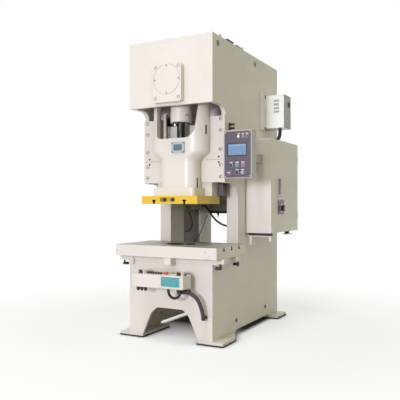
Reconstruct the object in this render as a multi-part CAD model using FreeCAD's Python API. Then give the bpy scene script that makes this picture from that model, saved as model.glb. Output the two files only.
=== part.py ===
import FreeCAD, Part
import math
import os

from FreeCAD import Vector

# A single-crank stamping press with an open C-shaped frame.
# Millimetres, +Z up. The origin is on the floor, in the middle of the press's width,
# under the front face of the crown. +Y runs to the back, +X to the operator's right.

# ---------------------------------------------------------------- driving dimensions

# Welded frame
frame_width = 956.0
frame_depth = 1770.0
crown_top_gap = 15.0
side_plate = 45.0
front_plate = 30.0
wall_plate = 30.0
crown_bottom_z = 2338.0
throat_top_z = 1572.0
throat_back_y = 598.0
throat_radius = 160.0
post_width = 85.0
post_depth = 300.0
rear_plate_bottom_z = 1266.0
lift_hole_r = 30.0
lift_hole_y = (118.0, 1059.0)
lift_hole_drop = 80.0
service_hole_r = 16.0
service_hole_y = (553.0, 1375.0)
service_hole_z = 150.0

# Feet and the pads under them
pad_height = 8.0
pad_inset = 6.0
foot_height = 30.0
foot_reach = 112.0
foot_outer_length = 280.0
foot_inner_length = 520.0
rear_foot_length = 290.0
foot_inner_x = 315.0
anchor_hole_r = 15.0
anchor_inset_x = 42.0
anchor_inset_y = 120.0
sill_step = 14.0
sill_slope = 40.0

# Arch in the front of the base, and the scrap window in its rear
arch_height = 320.0
arch_top_half = 150.0
arch_shoulder = (215.0, 262.0)
arch_waist = (262.0, 165.0)
arch_top_radius = 40.0
arch_shoulder_radius = 60.0
arch_waist_radius = 200.0
rear_base_inset = 30.0
scrap_half = 250.0
scrap_low_z = 80.0
scrap_high_z = 480.0
scrap_radius = 60.0

# Bed and bolster
bolster_width = 1150.0
bolster_depth = 676.0
bolster_thickness = 113.0
bolster_top_z = 948.0
bolster_front_y = -109.0
bolster_hole_y = 228.0
bolster_hole_r = 160.0
bed_half = 545.0
bed_front_y = -5.0
bed_back_y = 570.0
bed_plate = 58.0
bed_hole_r = 190.0
table_slot_count = 3
table_slot_pitch = 176.0
table_slot_first_y = 51.0
slot_mouth = 22.0
slot_head = 38.0
slot_head_height = 16.0
slot_depth = 42.0
side_port_r = 6.0
side_ports = ((216.0, 55.0), (438.0, 48.0))
side_port_depth = 25.0
clamp_reach = 55.0
clamp_height = 47.0
clamp_length = 88.0
clamp_y = (0.0, 314.0)
front_clamp_x = 419.0
locating_width = 73.0
locating_height = 67.0

# Slide and its guides
slide_bottom_z = 1360.0
slide_step = 5.0
slide_front_y = -14.0
slide_rear_y = 473.0
flange_height = 80.0
foot_flange_half = 240.0
foot_flange_front_y = 62.0
foot_flange_height = 82.0
foot_flange_radius = 40.0
guide_step = 7.0
guide_bottom_z = 1578.0
guide_drop = 93.0
guide_gap = 0.5
guide_web = 110.0
guide_back = 40.0
gib_front_y = 270.0
gib_thickness = 24.0
gib_split_rise = 229.0
gib_seam = 2.0
gib_inner_half = 214.0
gib_bolt_inset = 43.0
gib_bolt_rise = (56.0, 174.0, 332.0, 521.0, 640.0)
set_screw_inset = 66.0
set_screw_step = 28.0
screw_head_r = 17.0
screw_sink = 3.0
neck_half = 210.0
neck_front_y = 105.0
neck_corner = 110.0
barrel_half = 316.0
barrel_front_y = 98.0
barrel_corner = 150.0
barrel_rear_y = 266.0
step_low_z = 1792.0
step_high_z = 1899.0
slide_back_rise = 155.0
ear_rise = 62.0
window_bottom_z = 2025.0
window_left = -214.0
window_right = 214.0
window_right_top = 262.0
window_radius = 120.0
window_small_radius = 42.0
front_wall = 72.0
ear_wall = 54.0
stroke = 160.0
tool_slot_x = 175.0
shank_hole_r = 25.0
shank_depth = 65.0
shank_recess = (-104.0, 72.0, 20.0, 64.0)
shank_screw_x = (-62.0, 31.0)
shank_screw_across = 30.0
oil_slot_depth = 14.0
barrel_slot = (188.0, 206.0, 34.0, 124.0)
neck_slot = (186.0, 202.0, 71.0, 181.0)
counter_x = (-32.0, 119.0)
counter_z = (1873.0, 1983.0)
counter_margin_x = 26.0
counter_margin_z = 24.0
counter_proud = 12.0
counter_recess = 6.0
height_drive_x = (-276.0, -131.0)
height_drive_y = (352.0, 466.0)
height_drive_height = 110.0
height_rod_x = -226.0
height_rod_y = 320.0
height_rod_r = 12.0
height_knob_r = 17.0
lock_knob_x = -52.0
lock_knob_inset = 32.0
lock_knob_r = 14.0

# Crank train: the crank axis runs front to back, and the crank stands at the top of its stroke
crank_rise = 252.0
rod_y = 229.0
rod_half = 106.0
pin_r = 100.0
web_r = 116.0
web_front = 24.0
web_rear = 28.0
front_journal_r = 78.0
rear_journal_r = 80.0
gear_seat_r = 74.0
end_journal_r = 65.0
journal_front_y = -40.0
bush_wall = 14.0
bush_gap = 0.05
side_gap = 1.0
big_end_r = 150.0
head_r = 108.5
head_drop = 144.0
neck_of_rod = 96.0
neck_inset = 6.0
screw_r = 40.0
screw_length = 175.0
ball_r = 55.0
rim_screw_count = 8
rim_screw_r = 8.0
rim_screw_proud = 5.0
sweep_gap = 5.0

# Inner walls of the crown
mid_wall_y = 540.0
mid_wall = 50.0
gear_wall_y = 830.0
gear_wall = 50.0
pan_drop = 190.0
pan_plate = 20.0
boss_extra = 30.0
boss_length = 15.0

# Gears
gear_module = 10.0
gear_teeth = 72
pinion_teeth = 16
gear_y = 640.0
gear_width = 120.0
gear_rim = 44.0
gear_hub_r = 130.0
gear_web = 40.0
gear_holes = 5
gear_hole_r = 54.0
pinion_extra = 3.0
pressure_angle = 20.0
tooth_play = 0.4

# Pinion shaft, clutch and flywheel
pinion_shaft_r = 48.0
pinion_journal_r = 42.0
flywheel_gap = 30.0
flywheel_width = 112.0
flywheel_r = 372.0
flywheel_rim = 58.0
flywheel_hub_r = 110.0
flywheel_web = 46.0
flywheel_holes = 5
flywheel_hole_r = 46.0
clutch_r = 190.0
clutch_width = 40.0
shaft_tail = 10.0
guard_depth = 205.0
guard_sheet = 4.0
guard_gap = 12.0
guard_slot_rows = 7
guard_slot_pitch = 60.0
guard_slot_half = 240.0
guard_slot_gap = 30.0

# Motor and belts
motor_z = 1510.0
motor_r = 115.0
motor_length = 360.0
motor_gap = 60.0
motor_shaft_r = 24.0
motor_fins = 16
belt_count = 3
belt_pitch = 24.0
belt_width = 15.0
belt_height = 11.0
belt_play = 0.4
belt_ratio = 4.0

# Front bearing cover
cover_half = 165.0
cover_drop = 226.0
cover_rise = 149.0
cover_thickness = 60.0
cover_corner = 30.0
disc_r = 148.0
disc_groove = 3.0
disc_groove_depth = 4.0
cover_screw_dx = 131.0
cover_screw_low = 45.0
cover_screw_high = 23.0

# Fittings on the crown
top_fitting_inset = 38.0
eye_y = (241.0, 785.0)
eye_ring_r = 20.0
eye_wire_r = 6.0
lube_bar_y = (369.0, 514.0)
lube_bar_height = 30.0
lube_bar_half = 24.0
junction_y = (530.0, 731.0)
junction_height = 24.0

# Two-hand console
console_half = 285.0
console_front_y = -234.0
console_back_y = -80.0
console_bottom_z = 555.0
console_top_z = 680.0
console_wall = 3.0
console_bracket_half = 60.0
palm_x = 215.0
palm_r = 30.0
palm_travel = 6.0
palm_cap = 12.0
guard_height = 34.0
stop_x = 52.0
stop_r = 30.0
stop_travel = 5.0
button_play = 0.3
stem_r = 10.0
toggle_x = (-150.0, 0.0)
toggle_count = 6
teal_x = (45.0, 250.0)
teal_z = (575.0, 668.0)

# Operator's panel, its places along X counted from its left side
panel_standoff = 6.0
panel_width = 299.0
panel_front_y = 236.0
panel_depth = 114.0
panel_bottom_z = 1611.0
panel_height = 472.0
panel_rim = 10.0
panel_skin = 3.0
face_plate = 2.5
screen_x = (48.0, 241.0)
screen_z = (1839.0, 1948.0)
button_r = 14.0
button_travel = 4.0
button_stem_r = 8.0
lamp_x = (162.0, 208.0, 251.0)
lamp_z = 2020.0
push_x = (82.0, 146.0, 208.0)
push_z = 1739.0
selector_place = (144.0, 1667.0)
key_place = (204.0, 1667.0)
arm_x = (114.0, 188.0)
arm_z = (1795.0, 1880.0)

# Electrical cabinet on the right side plate
cabinet_standoff = 6.0
cabinet_width = 286.0
cabinet_front_y = 798.0
cabinet_length = 884.0
cabinet_bottom_z = 1048.0
cabinet_height = 1010.0
cabinet_wall = 3.0
cabinet_lip = 30.0
door_front_y = 962.0
door_thickness = 22.0
door_gap = 1.0
hinge_r = 7.0
hinge_pin_r = 4.0
hinge_length = 70.0
hinge_inset_z = 140.0
hinge_leaf = 3.0
hinge_inset_x = 6.0
hinge_proud = 8.0
hinge_seam = 0.3
handle_y = 1046.0
handle_z = (1465.0, 1636.0)
handle_width = 24.0
switch_y = (1005.0, 1176.0)
switch_z = (1248.0, 1403.0)
knob_y = 1100.0
knob_z = 1313.0
spindle_r = 8.0

# Drive box high on the right side plate
box_standoff = 12.0
box_width = 229.0
box_rear_gap = 195.0
box_length = 231.0
box_bottom_z = 2237.0
box_height = 381.0
strip_depth = 125.0
strip_z = (2208.0, 2651.0)
latch_inset = 61.0
latch_z = 2518.0

# Junction box in the throat, and the glands on the side plate
wiring_y = (1120.0, 1420.0)
wiring_z = (1290.0, 1366.0)
wiring_depth = 60.0
wiring_pipe_inset = 25.0
wiring_pipe_r = 9.0
side_gland_drop = (212.0, 174.0)
side_gland_y = 380.0
side_gland_length = 57.0
side_gland_r = 11.0
gland_wall = 4.0

# Hoses: where each one leaves its fitting, its route, and where it ends
air_hose_r = 16.0
air_route = [(212, -118, 520), (256, -118, 520), (300, -112, 508), (339, -104, 486), (371, -94, 454),
             (394, -82, 415), (405, -68, 372), (407, -54, 328), (407, -54, 292)]
loop_hose_r = 10.0
loop_route = [(77, -150, 546), (77, -150, 510), (95, -151, 479), (126, -152, 461), (162, -152, 461),
              (193, -151, 479), (211, -150, 510), (211, -150, 546)]
drive_hose_r = 16.0
drive_points = [(172, 56, 2227), (172, 56, 2177), (154, 56, 2134), (121, 56, 2101), (77, 56, 2083),
                (20, 56, 2083)]
throat_hose_r = 12.0
throat_points_inner = 433.0
throat_points = [(-373, 1400, 1336), (-327, 1400, 1336), (-283, 1410, 1322), (-250, 1432, 1292),
                 (-228, 1460, 1250), (-198, 1494, 1204), (-160, 1530, 1162), (-104, 1562, 1128),
                 (-30, 1584, 1104), (50, 1596, 1092), (132, 1600, 1092), (208, 1600, 1104),
                 (278, 1600, 1126), (330, 1600, 1150), (374, 1600, 1162), (417, 1600, 1162)]

# ---------------------------------------------------------------- values that follow

half = frame_width / 2.0
inner = half - side_plate
gear_pitch_r = gear_module * gear_teeth / 2.0
gear_tip_r = gear_pitch_r + gear_module
crank_z = crown_bottom_z + crank_rise
frame_height = crank_z + gear_tip_r + crown_top_gap + wall_plate
guide_top_z = crown_bottom_z - guide_drop
nose_radius = guide_drop - 1.0
gib_split_z = guide_bottom_z + gib_split_rise
gib_bolt_z = [guide_bottom_z + rise for rise in gib_bolt_rise]
head_bottom_z = crown_bottom_z - head_drop
ear_top_z = crown_bottom_z + ear_rise
slide_back_top_z = window_bottom_z + slide_back_rise
flywheel_y = frame_depth + flywheel_gap
cover_bottom_z = crank_z - cover_drop
cover_top_z = crank_z + cover_rise
cover_screw_z = (cover_bottom_z + cover_screw_low, cover_top_z - cover_screw_high)
throw = stroke / 2.0
foot_top = pad_height + foot_height
bolster_bottom_z = bolster_top_z - bolster_thickness
bolster_back_y = bolster_front_y + bolster_depth
bolster_half = bolster_width / 2.0
bed_bottom_z = bolster_bottom_z - bed_plate
flange_top_z = slide_bottom_z + flange_height
foot_flange_top_z = flange_top_z + foot_flange_height
gib_back_y = gib_front_y + gib_thickness
slide_back_front_y = gib_back_y + guide_gap
pin_z = crank_z + throw
rod_front_y = rod_y - rod_half
rod_back_y = rod_y + rod_half
web_front_y = rod_front_y - side_gap - web_front
web_back_y = rod_back_y + side_gap + web_rear
foot_outer_x = half + foot_reach
pinion_pitch_r = gear_module * pinion_teeth / 2.0
pinion_z = crank_z - gear_pitch_r - pinion_pitch_r
pan_z = pinion_z - pan_drop
belt_flywheel_r = flywheel_r - belt_height
belt_pulley_r = belt_flywheel_r / belt_ratio
ball_z = head_bottom_z - screw_length - ball_r
head_top_z = pin_z - throw - web_r - sweep_gap
cavity_half = ball_r + throw + sweep_gap
cavity_floor_z = ball_z - ball_r - stroke - sweep_gap
cavity_front_y = rod_y - ball_r - sweep_gap
cavity_back_y = rod_y + ball_r + sweep_gap
slide_width = 2.0 * (barrel_half + slide_step)
guide_half = barrel_half + guide_step
cabinet_inner_x = half + cabinet_standoff
cabinet_outer_x = cabinet_inner_x + cabinet_width
cabinet_back_y = cabinet_front_y + cabinet_length
cabinet_top_z = cabinet_bottom_z + cabinet_height
panel_left = half + panel_standoff
panel_right = panel_left + panel_width
panel_back_y = panel_front_y + panel_depth
panel_top_z = panel_bottom_z + panel_height
box_inner_x = half + box_standoff
box_outer_x = box_inner_x + box_width
box_back_y = frame_depth - box_rear_gap
box_front_y = box_back_y - box_length
strip_y = (box_front_y - strip_depth, box_front_y)
latch_y = box_back_y - latch_inset
drive_route = [(half + x, box_front_y + y, z) for x, y, z in drive_points]
throat_route = [(x * inner / throat_points_inner, y, z) for x, y, z in throat_points]
console_mid_y = (console_front_y + console_back_y) / 2.0
panel_face_y = panel_front_y - face_plate
box_top_z = box_bottom_z + box_height
hinge_x = cabinet_outer_x - hinge_inset_x
hinge_y = cabinet_back_y + hinge_proud
hinge_z = (cabinet_bottom_z + hinge_inset_z, cabinet_top_z - hinge_inset_z - hinge_length)


os.makedirs("parts", exist_ok=True)


# ---------------------------------------------------------------- helpers

def save(name, shape):
    """Write one sub-part. Touching solids of a group stay separate solids."""
    shape.exportStep("parts/" + name + ".step")
    print(name, len(shape.Solids), "solid(s)", round(shape.Volume / 1000.0), "cm3", shape.isValid())


def box(x0, x1, y0, y1, z0, z1):
    return Part.makeBox(x1 - x0, y1 - y0, z1 - z0, Vector(x0, y0, z0))


def rod_x(x0, x1, y, z, r):
    return Part.makeCylinder(r, x1 - x0, Vector(x0, y, z), Vector(1, 0, 0))


def rod_y_axis(y0, y1, x, z, r):
    return Part.makeCylinder(r, y1 - y0, Vector(x, y0, z), Vector(0, 1, 0))


def rod_z(z0, z1, x, y, r):
    return Part.makeCylinder(r, z1 - z0, Vector(x, y, z0), Vector(0, 0, 1))


def hex_y(y0, y1, x, z, across):
    """A hexagonal prism along Y, measured across its flats."""
    r = across / math.sqrt(3.0)
    corners = [Vector(x + r * math.cos(math.radians(60 * i)), y0, z + r * math.sin(math.radians(60 * i)))
               for i in range(7)]
    return Part.Face(Part.makePolygon(corners)).extrude(Vector(0, y1 - y0, 0))


def outline(points):
    """A closed wire. A point is (a, b), or (a, b, radius) where the corner is rounded."""
    edges = []
    count = len(points)
    corners = []
    for i in range(count):
        here = Vector(points[i][0], points[i][1], 0)
        if len(points[i]) == 2:
            corners.append((here, here, None))
            continue
        before = Vector(points[i - 1][0], points[i - 1][1], 0)
        after = Vector(points[(i + 1) % count][0], points[(i + 1) % count][1], 0)
        to_before = (before - here).normalize()
        to_after = (after - here).normalize()
        half_angle = to_before.getAngle(to_after) / 2.0
        reach = points[i][2] / math.tan(half_angle)
        depth = points[i][2] / math.sin(half_angle) - points[i][2]
        middle = here + (to_before + to_after).normalize() * depth
        corners.append((here + to_before * reach, here + to_after * reach, middle))
    for i in range(count):
        start, end, middle = corners[i]
        if middle is not None:
            edges.append(Part.Arc(start, middle, end).toShape())
        following = corners[(i + 1) % count][0]
        if (following - end).Length > 1e-6:
            edges.append(Part.LineSegment(end, following).toShape())
    return Part.Wire(edges)


def profile_z(points, z0, z1):
    """Extrude an (x, y) outline along Z."""
    face = Part.Face(outline(points))
    face.translate(Vector(0, 0, z0))
    return face.extrude(Vector(0, 0, z1 - z0))


def profile_y(points, y0, y1):
    """Extrude an (x, z) outline along Y."""
    face = Part.Face(outline(points))
    face.rotate(Vector(0, 0, 0), Vector(1, 0, 0), 90)
    face.translate(Vector(0, y0, 0))
    return face.extrude(Vector(0, y1 - y0, 0))


def profile_x(points, x0, x1):
    """Extrude a (y, z) outline along X."""
    face = Part.Face(outline(points))
    face.rotate(Vector(0, 0, 0), Vector(1, 1, 1), 120)
    face.translate(Vector(x0, 0, 0))
    return face.extrude(Vector(x1 - x0, 0, 0))


def turned_y(points, x, z):
    """Turn a (radius, y) outline about an axis along Y through (x, z)."""
    face = Part.Face(Part.makePolygon([Vector(x + r, y, z) for r, y in points + points[:1]]))
    return face.revolve(Vector(x, 0, z), Vector(0, 1, 0), 360)


def mirror_x(shape):
    return shape.mirror(Vector(0, 0, 0), Vector(1, 0, 0))


def fuse(first, *others):
    return first.fuse(list(others)).removeSplitter()


def cut(shape, *tools):
    return shape.cut(list(tools))


def group(shapes):
    return Part.makeCompound(shapes)


# ---------------------------------------------------------------- frame

def side_plate_right():
    """The C-shaped plate: crown, throat and base in one."""
    points = [
        (front_plate, foot_top),
        (foot_inner_length, foot_top),
        (foot_inner_length + sill_slope, foot_top + sill_step),
        (frame_depth - rear_foot_length - sill_slope, foot_top + sill_step),
        (frame_depth - rear_foot_length, foot_top),
        (frame_depth, foot_top),
        (frame_depth, frame_height - wall_plate),
        (front_plate, frame_height - wall_plate),
        (front_plate, crown_bottom_z),
        (gib_back_y, crown_bottom_z, nose_radius),
        (gib_back_y, throat_top_z),
        (throat_back_y, throat_top_z, throat_radius),
        (throat_back_y, bed_bottom_z),
        (front_plate, bed_bottom_z),
    ]
    plate = profile_x(points, inner, half)
    lift_z = frame_height - lift_hole_drop
    holes = [rod_x(inner - 5, half + 5, y, lift_z, lift_hole_r) for y in lift_hole_y]
    holes += [rod_x(inner - 5, half + 5, y, service_hole_z, service_hole_r) for y in service_hole_y]
    return cut(plate, *holes)


def throat_post_right():
    """The thick bar that stiffens the back of the throat, from the bed to the crown."""
    return box(inner - post_width, inner, throat_back_y, throat_back_y + post_depth, bolster_bottom_z,
               throat_top_z)


def crown_front():
    plate = box(-half, half, 0, front_plate, crown_bottom_z, frame_height - wall_plate)
    boss = rod_y_axis(front_plate - 1, web_front_y - side_gap, 0, crank_z,
                      front_journal_r + bush_wall + boss_extra)
    bore = rod_y_axis(-5, web_front_y, 0, crank_z, front_journal_r + bush_wall)
    return cut(fuse(plate, boss), bore)


def crown_top():
    return box(-half, half, 0, frame_depth, frame_height - wall_plate, frame_height)


def bearing_wall(y0, thickness, crank_r, shaft_r):
    """A cross wall of the crown with its bores for the crank and the pinion shaft."""
    y1 = y0 + thickness
    wall = box(-inner, inner, y0, y1, pan_z, frame_height - wall_plate)
    crank_boss = rod_y_axis(y0 - boss_length, y1 + boss_length, 0, crank_z, crank_r + boss_extra)
    shaft_boss = rod_y_axis(y0 - boss_length, y1 + boss_length, 0, pinion_z, shaft_r + boss_extra)
    crank_bore = rod_y_axis(y0 - thickness, y1 + thickness, 0, crank_z, crank_r)
    shaft_bore = rod_y_axis(y0 - thickness, y1 + thickness, 0, pinion_z, shaft_r)
    return cut(fuse(wall, crank_boss, shaft_boss), crank_bore, shaft_bore)


def rear_plate():
    """The crown's back, with the pinion shaft's bearing and the motor's bracket."""
    inside_y = frame_depth - wall_plate
    plate = box(-inner, inner, inside_y, frame_depth, rear_plate_bottom_z, frame_height - wall_plate)
    boss_r = pinion_shaft_r + bush_wall + boss_extra
    shaft_boss = rod_y_axis(inside_y - boss_extra, frame_depth, 0, pinion_z, boss_r)
    shaft_bore = rod_y_axis(inside_y - 80, frame_depth + 5, 0, pinion_z, pinion_shaft_r + bush_wall)
    arms = []
    for x in (-motor_r + 24.0, motor_r - 24.0):
        arms.append(box(x - 16, x + 16, inside_y - motor_gap, inside_y + 1, motor_z - 60, motor_z + 60))
    motor_bore = rod_y_axis(inside_y - motor_gap - 5, frame_depth + 5, 0, motor_z, motor_shaft_r + 20)
    return cut(fuse(plate, shaft_boss, *arms), shaft_bore, motor_bore)


def gear_wall_with_pan():
    """The rear cross wall with the oil pan welded to it, under the gears."""
    wall = bearing_wall(gear_wall_y, gear_wall, end_journal_r + bush_wall, pinion_shaft_r + bush_wall)
    pan = box(-inner, inner, mid_wall_y + mid_wall, gear_wall_y, pan_z, pan_z + pan_plate)
    return fuse(wall, pan)


def base_front():
    """The front of the base with its arch."""
    waist_x, waist_z = arch_waist
    shoulder_x, shoulder_z = arch_shoulder
    points = [
        (-half, foot_top),
        (-foot_inner_x, foot_top),
        (-waist_x, waist_z, arch_waist_radius),
        (-shoulder_x, shoulder_z, arch_shoulder_radius),
        (-arch_top_half, arch_height, arch_top_radius),
        (arch_top_half, arch_height, arch_top_radius),
        (shoulder_x, shoulder_z, arch_shoulder_radius),
        (waist_x, waist_z, arch_waist_radius),
        (foot_inner_x, foot_top),
        (half, foot_top),
        (half, bed_bottom_z),
        (-half, bed_bottom_z),
    ]
    return profile_y(points, 0, front_plate)


def base_rear():
    """The rear of the base, open low down for scrap to be drawn out."""
    y1 = frame_depth - rear_base_inset
    plate = box(-inner, inner, y1 - wall_plate, y1, foot_top, bed_bottom_z)
    window = profile_y([(-scrap_half, scrap_low_z), (scrap_half, scrap_low_z),
                        (scrap_half, scrap_high_z, scrap_radius),
                        (-scrap_half, scrap_high_z, scrap_radius)],
                       y1 - wall_plate - 5, y1 + 5)
    return cut(plate, window)


def bed():
    """The flange plate under the bolster, which narrows between the throat posts."""
    back_y = throat_back_y + post_depth
    post_x = inner - post_width
    plan = [(-bed_half, bed_front_y), (bed_half, bed_front_y), (bed_half, bed_back_y),
            (inner, bed_back_y), (inner, throat_back_y), (post_x, throat_back_y), (post_x, back_y),
            (-post_x, back_y), (-post_x, throat_back_y), (-inner, throat_back_y),
            (-inner, bed_back_y), (-bed_half, bed_back_y)]
    plate = profile_z(plan, bed_bottom_z, bolster_bottom_z)
    return cut(plate, rod_z(bed_bottom_z - 5, bolster_bottom_z + 5, 0, bolster_hole_y, bed_hole_r))


def foot(front):
    """One foot: a floor plate with its outer corner cut away, and its anchor hole."""
    if front:
        plan = [(foot_inner_x, bed_front_y), (foot_outer_x, bed_front_y), (foot_outer_x, foot_outer_length),
                (half, foot_inner_length), (foot_inner_x, foot_inner_length)]
        hole_y = anchor_inset_y
    else:
        y0 = frame_depth - rear_foot_length
        plan = [(foot_inner_x, y0), (foot_outer_x, y0), (foot_outer_x, frame_depth),
                (foot_inner_x, frame_depth)]
        hole_y = frame_depth - anchor_inset_y
    plate = profile_z(plan, pad_height, foot_top)
    hole = rod_z(pad_height - 5, foot_top + 5, foot_outer_x - anchor_inset_x, hole_y, anchor_hole_r)
    return cut(plate, hole)


def foot_pads():
    """Black pads under the four feet, holed for the anchor bolts."""
    pads = []
    for y0, y1, hole_y in ((pad_inset, foot_outer_length, anchor_inset_y),
                           (frame_depth - foot_outer_length, frame_depth - pad_inset,
                            frame_depth - anchor_inset_y)):
        pad = box(foot_inner_x + pad_inset, foot_outer_x - pad_inset, y0, y1, 0, pad_height)
        pad = cut(pad, rod_z(-5, pad_height + 5, foot_outer_x - anchor_inset_x, hole_y, anchor_hole_r))
        pads += [pad, mirror_x(pad)]
    return group(pads)


def clamp_blocks():
    """Blocks on the edges of the bed's flange, and the locating block under the front."""
    blocks = []
    for y in clamp_y:
        side = box(bed_half, bed_half + clamp_reach, y, y + clamp_length,
                   bolster_bottom_z - clamp_height, bolster_bottom_z)
        blocks += [side, mirror_x(side)]
    blocks.append(box(-front_clamp_x - clamp_reach, -front_clamp_x, bed_front_y - 20, bed_front_y,
                      bolster_bottom_z - clamp_length, bolster_bottom_z))
    blocks.append(box(0, locating_width, bolster_front_y + 5, bed_front_y, bolster_bottom_z - locating_height,
                      bolster_bottom_z))
    return group(blocks)


def tee_slot_x(y, length):
    """A T-slot cutter along X in the top of the bolster."""
    floor_z = bolster_top_z - slot_depth
    mouth = box(-length, length, y - slot_mouth / 2, y + slot_mouth / 2, floor_z, bolster_top_z + 5)
    head = box(-length, length, y - slot_head / 2, y + slot_head / 2, floor_z, floor_z + slot_head_height)
    return mouth.fuse(head)


def bolster():
    """The table that the die stands on: T-slots, the blanking hole and small ports."""
    w = bolster_half
    plate = box(-w, w, bolster_front_y, bolster_back_y, bolster_bottom_z, bolster_top_z)
    tools = [tee_slot_x(table_slot_first_y + i * table_slot_pitch, w + 5) for i in range(table_slot_count)]
    tools.append(rod_z(bolster_bottom_z - 5, bolster_top_z + 5, 0, bolster_hole_y, bolster_hole_r))
    for back, down in side_ports:
        tools.append(rod_x(w - side_port_depth, w + 5, bolster_front_y + back, bolster_top_z - down,
                           side_port_r))
    return cut(plate, *tools)


# ---------------------------------------------------------------- guides

def guide_right():
    """The way that the slide runs in, welded to the side plate."""
    back_y = slide_rear_y + guide_gap
    side = box(guide_half + guide_gap, inner, gib_back_y, back_y + guide_back, guide_bottom_z, guide_top_z)
    back = box(guide_half - guide_web, guide_half + guide_gap, back_y, back_y + guide_back,
               guide_bottom_z, guide_top_z)
    return fuse(side, back)


def gib_screw_places():
    """The screws of one gib: five bolts, and a set screw each side of the seam."""
    places = [(half - gib_bolt_inset, z, screw_head_r) for z in gib_bolt_z]
    for z in (gib_split_z - set_screw_step, gib_split_z + set_screw_step):
        places.append((half - set_screw_inset, z, screw_head_r * 0.6))
    return places


def gib_right(z0, z1):
    """A flat keeper bolted over the front of the guide."""
    plate = box(gib_inner_half, half, gib_front_y, gib_back_y, z0, z1)
    holes = []
    for x, z, r in gib_screw_places():
        if z0 < z < z1:
            holes.append(rod_y_axis(gib_front_y - 5, gib_front_y + screw_head_r, x, z, r + button_play))
    return cut(plate, *holes)


def socket_screw(x, z, y0, r, length):
    """A socket head sunk in a plate, with its hexagon."""
    head = rod_y_axis(y0, y0 + length, x, z, r)
    return head.cut(hex_y(y0 - 1, y0 + length * 0.7, x, z, r * 0.95))


def socket_screws():
    """The socket screws of the gibs and of the bearing cover."""
    screws = []
    for x, z, r in gib_screw_places():
        for side in (-1, 1):
            screws.append(socket_screw(side * x, z, gib_front_y + screw_sink, r, screw_head_r - screw_sink))
    for x in (-cover_screw_dx, cover_screw_dx):
        for z in cover_screw_z:
            screws.append(socket_screw(x, z, -cover_thickness - screw_sink, screw_head_r, screw_head_r))
    return group(screws)


# ---------------------------------------------------------------- slide

def slide_section(half_width, front, corner, rear, z):
    """The slide's plan at one height: a straight front with round corners."""
    bend = corner * (1 - math.sqrt(0.5))
    left = Vector(-half_width, front + corner, z)
    right = Vector(half_width, front + corner, z)
    front_left = Vector(-half_width + corner, front, z)
    front_right = Vector(half_width - corner, front, z)
    edges = [
        Part.LineSegment(Vector(-half_width, rear, z), left).toShape(),
        Part.Arc(left, Vector(-half_width + bend, front + bend, z), front_left).toShape(),
        Part.LineSegment(front_left, front_right).toShape(),
        Part.Arc(front_right, Vector(half_width - bend, front + bend, z), right).toShape(),
        Part.LineSegment(right, Vector(half_width, rear, z)).toShape(),
        Part.LineSegment(Vector(half_width, rear, z), Vector(-half_width, rear, z)).toShape(),
    ]
    return Part.Wire(edges)


def slide_shell():
    """The casting's outside: a neck that swells through an S-curve into the barrel."""
    wires = [slide_section(neck_half, neck_front_y, neck_corner, barrel_rear_y, flange_top_z)]
    steps = 6
    for i in range(steps + 1):
        t = i / steps
        s = t * t * (3 - 2 * t)
        wires.append(slide_section(neck_half + (barrel_half - neck_half) * s,
                                   neck_front_y + (barrel_front_y - neck_front_y) * s,
                                   neck_corner + (barrel_corner - neck_corner) * s,
                                   barrel_rear_y,
                                   step_low_z + (step_high_z - step_low_z) * t))
    wires.append(slide_section(barrel_half, barrel_front_y, barrel_corner, barrel_rear_y, ear_top_z))
    return Part.makeLoft(wires, True, True)


def slide_casting():
    """The slide: neck, barrel and rear slab in one casting, open above for the rod."""
    link = box(-neck_half, neck_half, barrel_rear_y - 40, slide_back_front_y + 1, flange_top_z,
               slide_back_top_z)
    back = box(-guide_half, guide_half, slide_back_front_y, slide_rear_y, flange_top_z, slide_back_top_z)
    foot_flange = profile_z([(-foot_flange_half, foot_flange_front_y, foot_flange_radius),
                             (foot_flange_half, foot_flange_front_y, foot_flange_radius),
                             (foot_flange_half, slide_back_front_y + 1),
                             (-foot_flange_half, slide_back_front_y + 1)],
                            flange_top_z, foot_flange_top_z)
    body = fuse(slide_shell(), link, back, foot_flange, height_counter())
    inner_y = barrel_front_y + front_wall
    top_z = ear_top_z + 10
    window = profile_y([
        (window_left, window_bottom_z, window_small_radius),
        (window_right, window_bottom_z, window_radius),
        (window_right_top, top_z),
        (window_left, top_z),
    ], barrel_front_y - 30, inner_y + 5)
    chamber_half = barrel_half - ear_wall
    chamber = box(-chamber_half, chamber_half, inner_y, barrel_rear_y + 30, window_bottom_z, top_z)
    head_sweep = head_r + throw + sweep_gap
    rod_pocket = box(-head_sweep, head_sweep, barrel_rear_y - 5, rod_y + head_r + sweep_gap,
                     window_bottom_z, slide_back_top_z + 10)
    ball_slot = box(-cavity_half, cavity_half, cavity_front_y, cavity_back_y, cavity_floor_z,
                    slide_back_top_z + 10)
    y0, y1, low, high = barrel_slot
    upper_slot = box(barrel_half - oil_slot_depth, barrel_half + 5, y0, y1, window_bottom_z + low,
                     window_bottom_z + high)
    y0, y1, low, high = neck_slot
    lower_slot = box(neck_half - oil_slot_depth, neck_half + 5, y0, y1, flange_top_z + low,
                     flange_top_z + high)
    return cut(body, window, chamber, rod_pocket, ball_slot, upper_slot, lower_slot)


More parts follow.
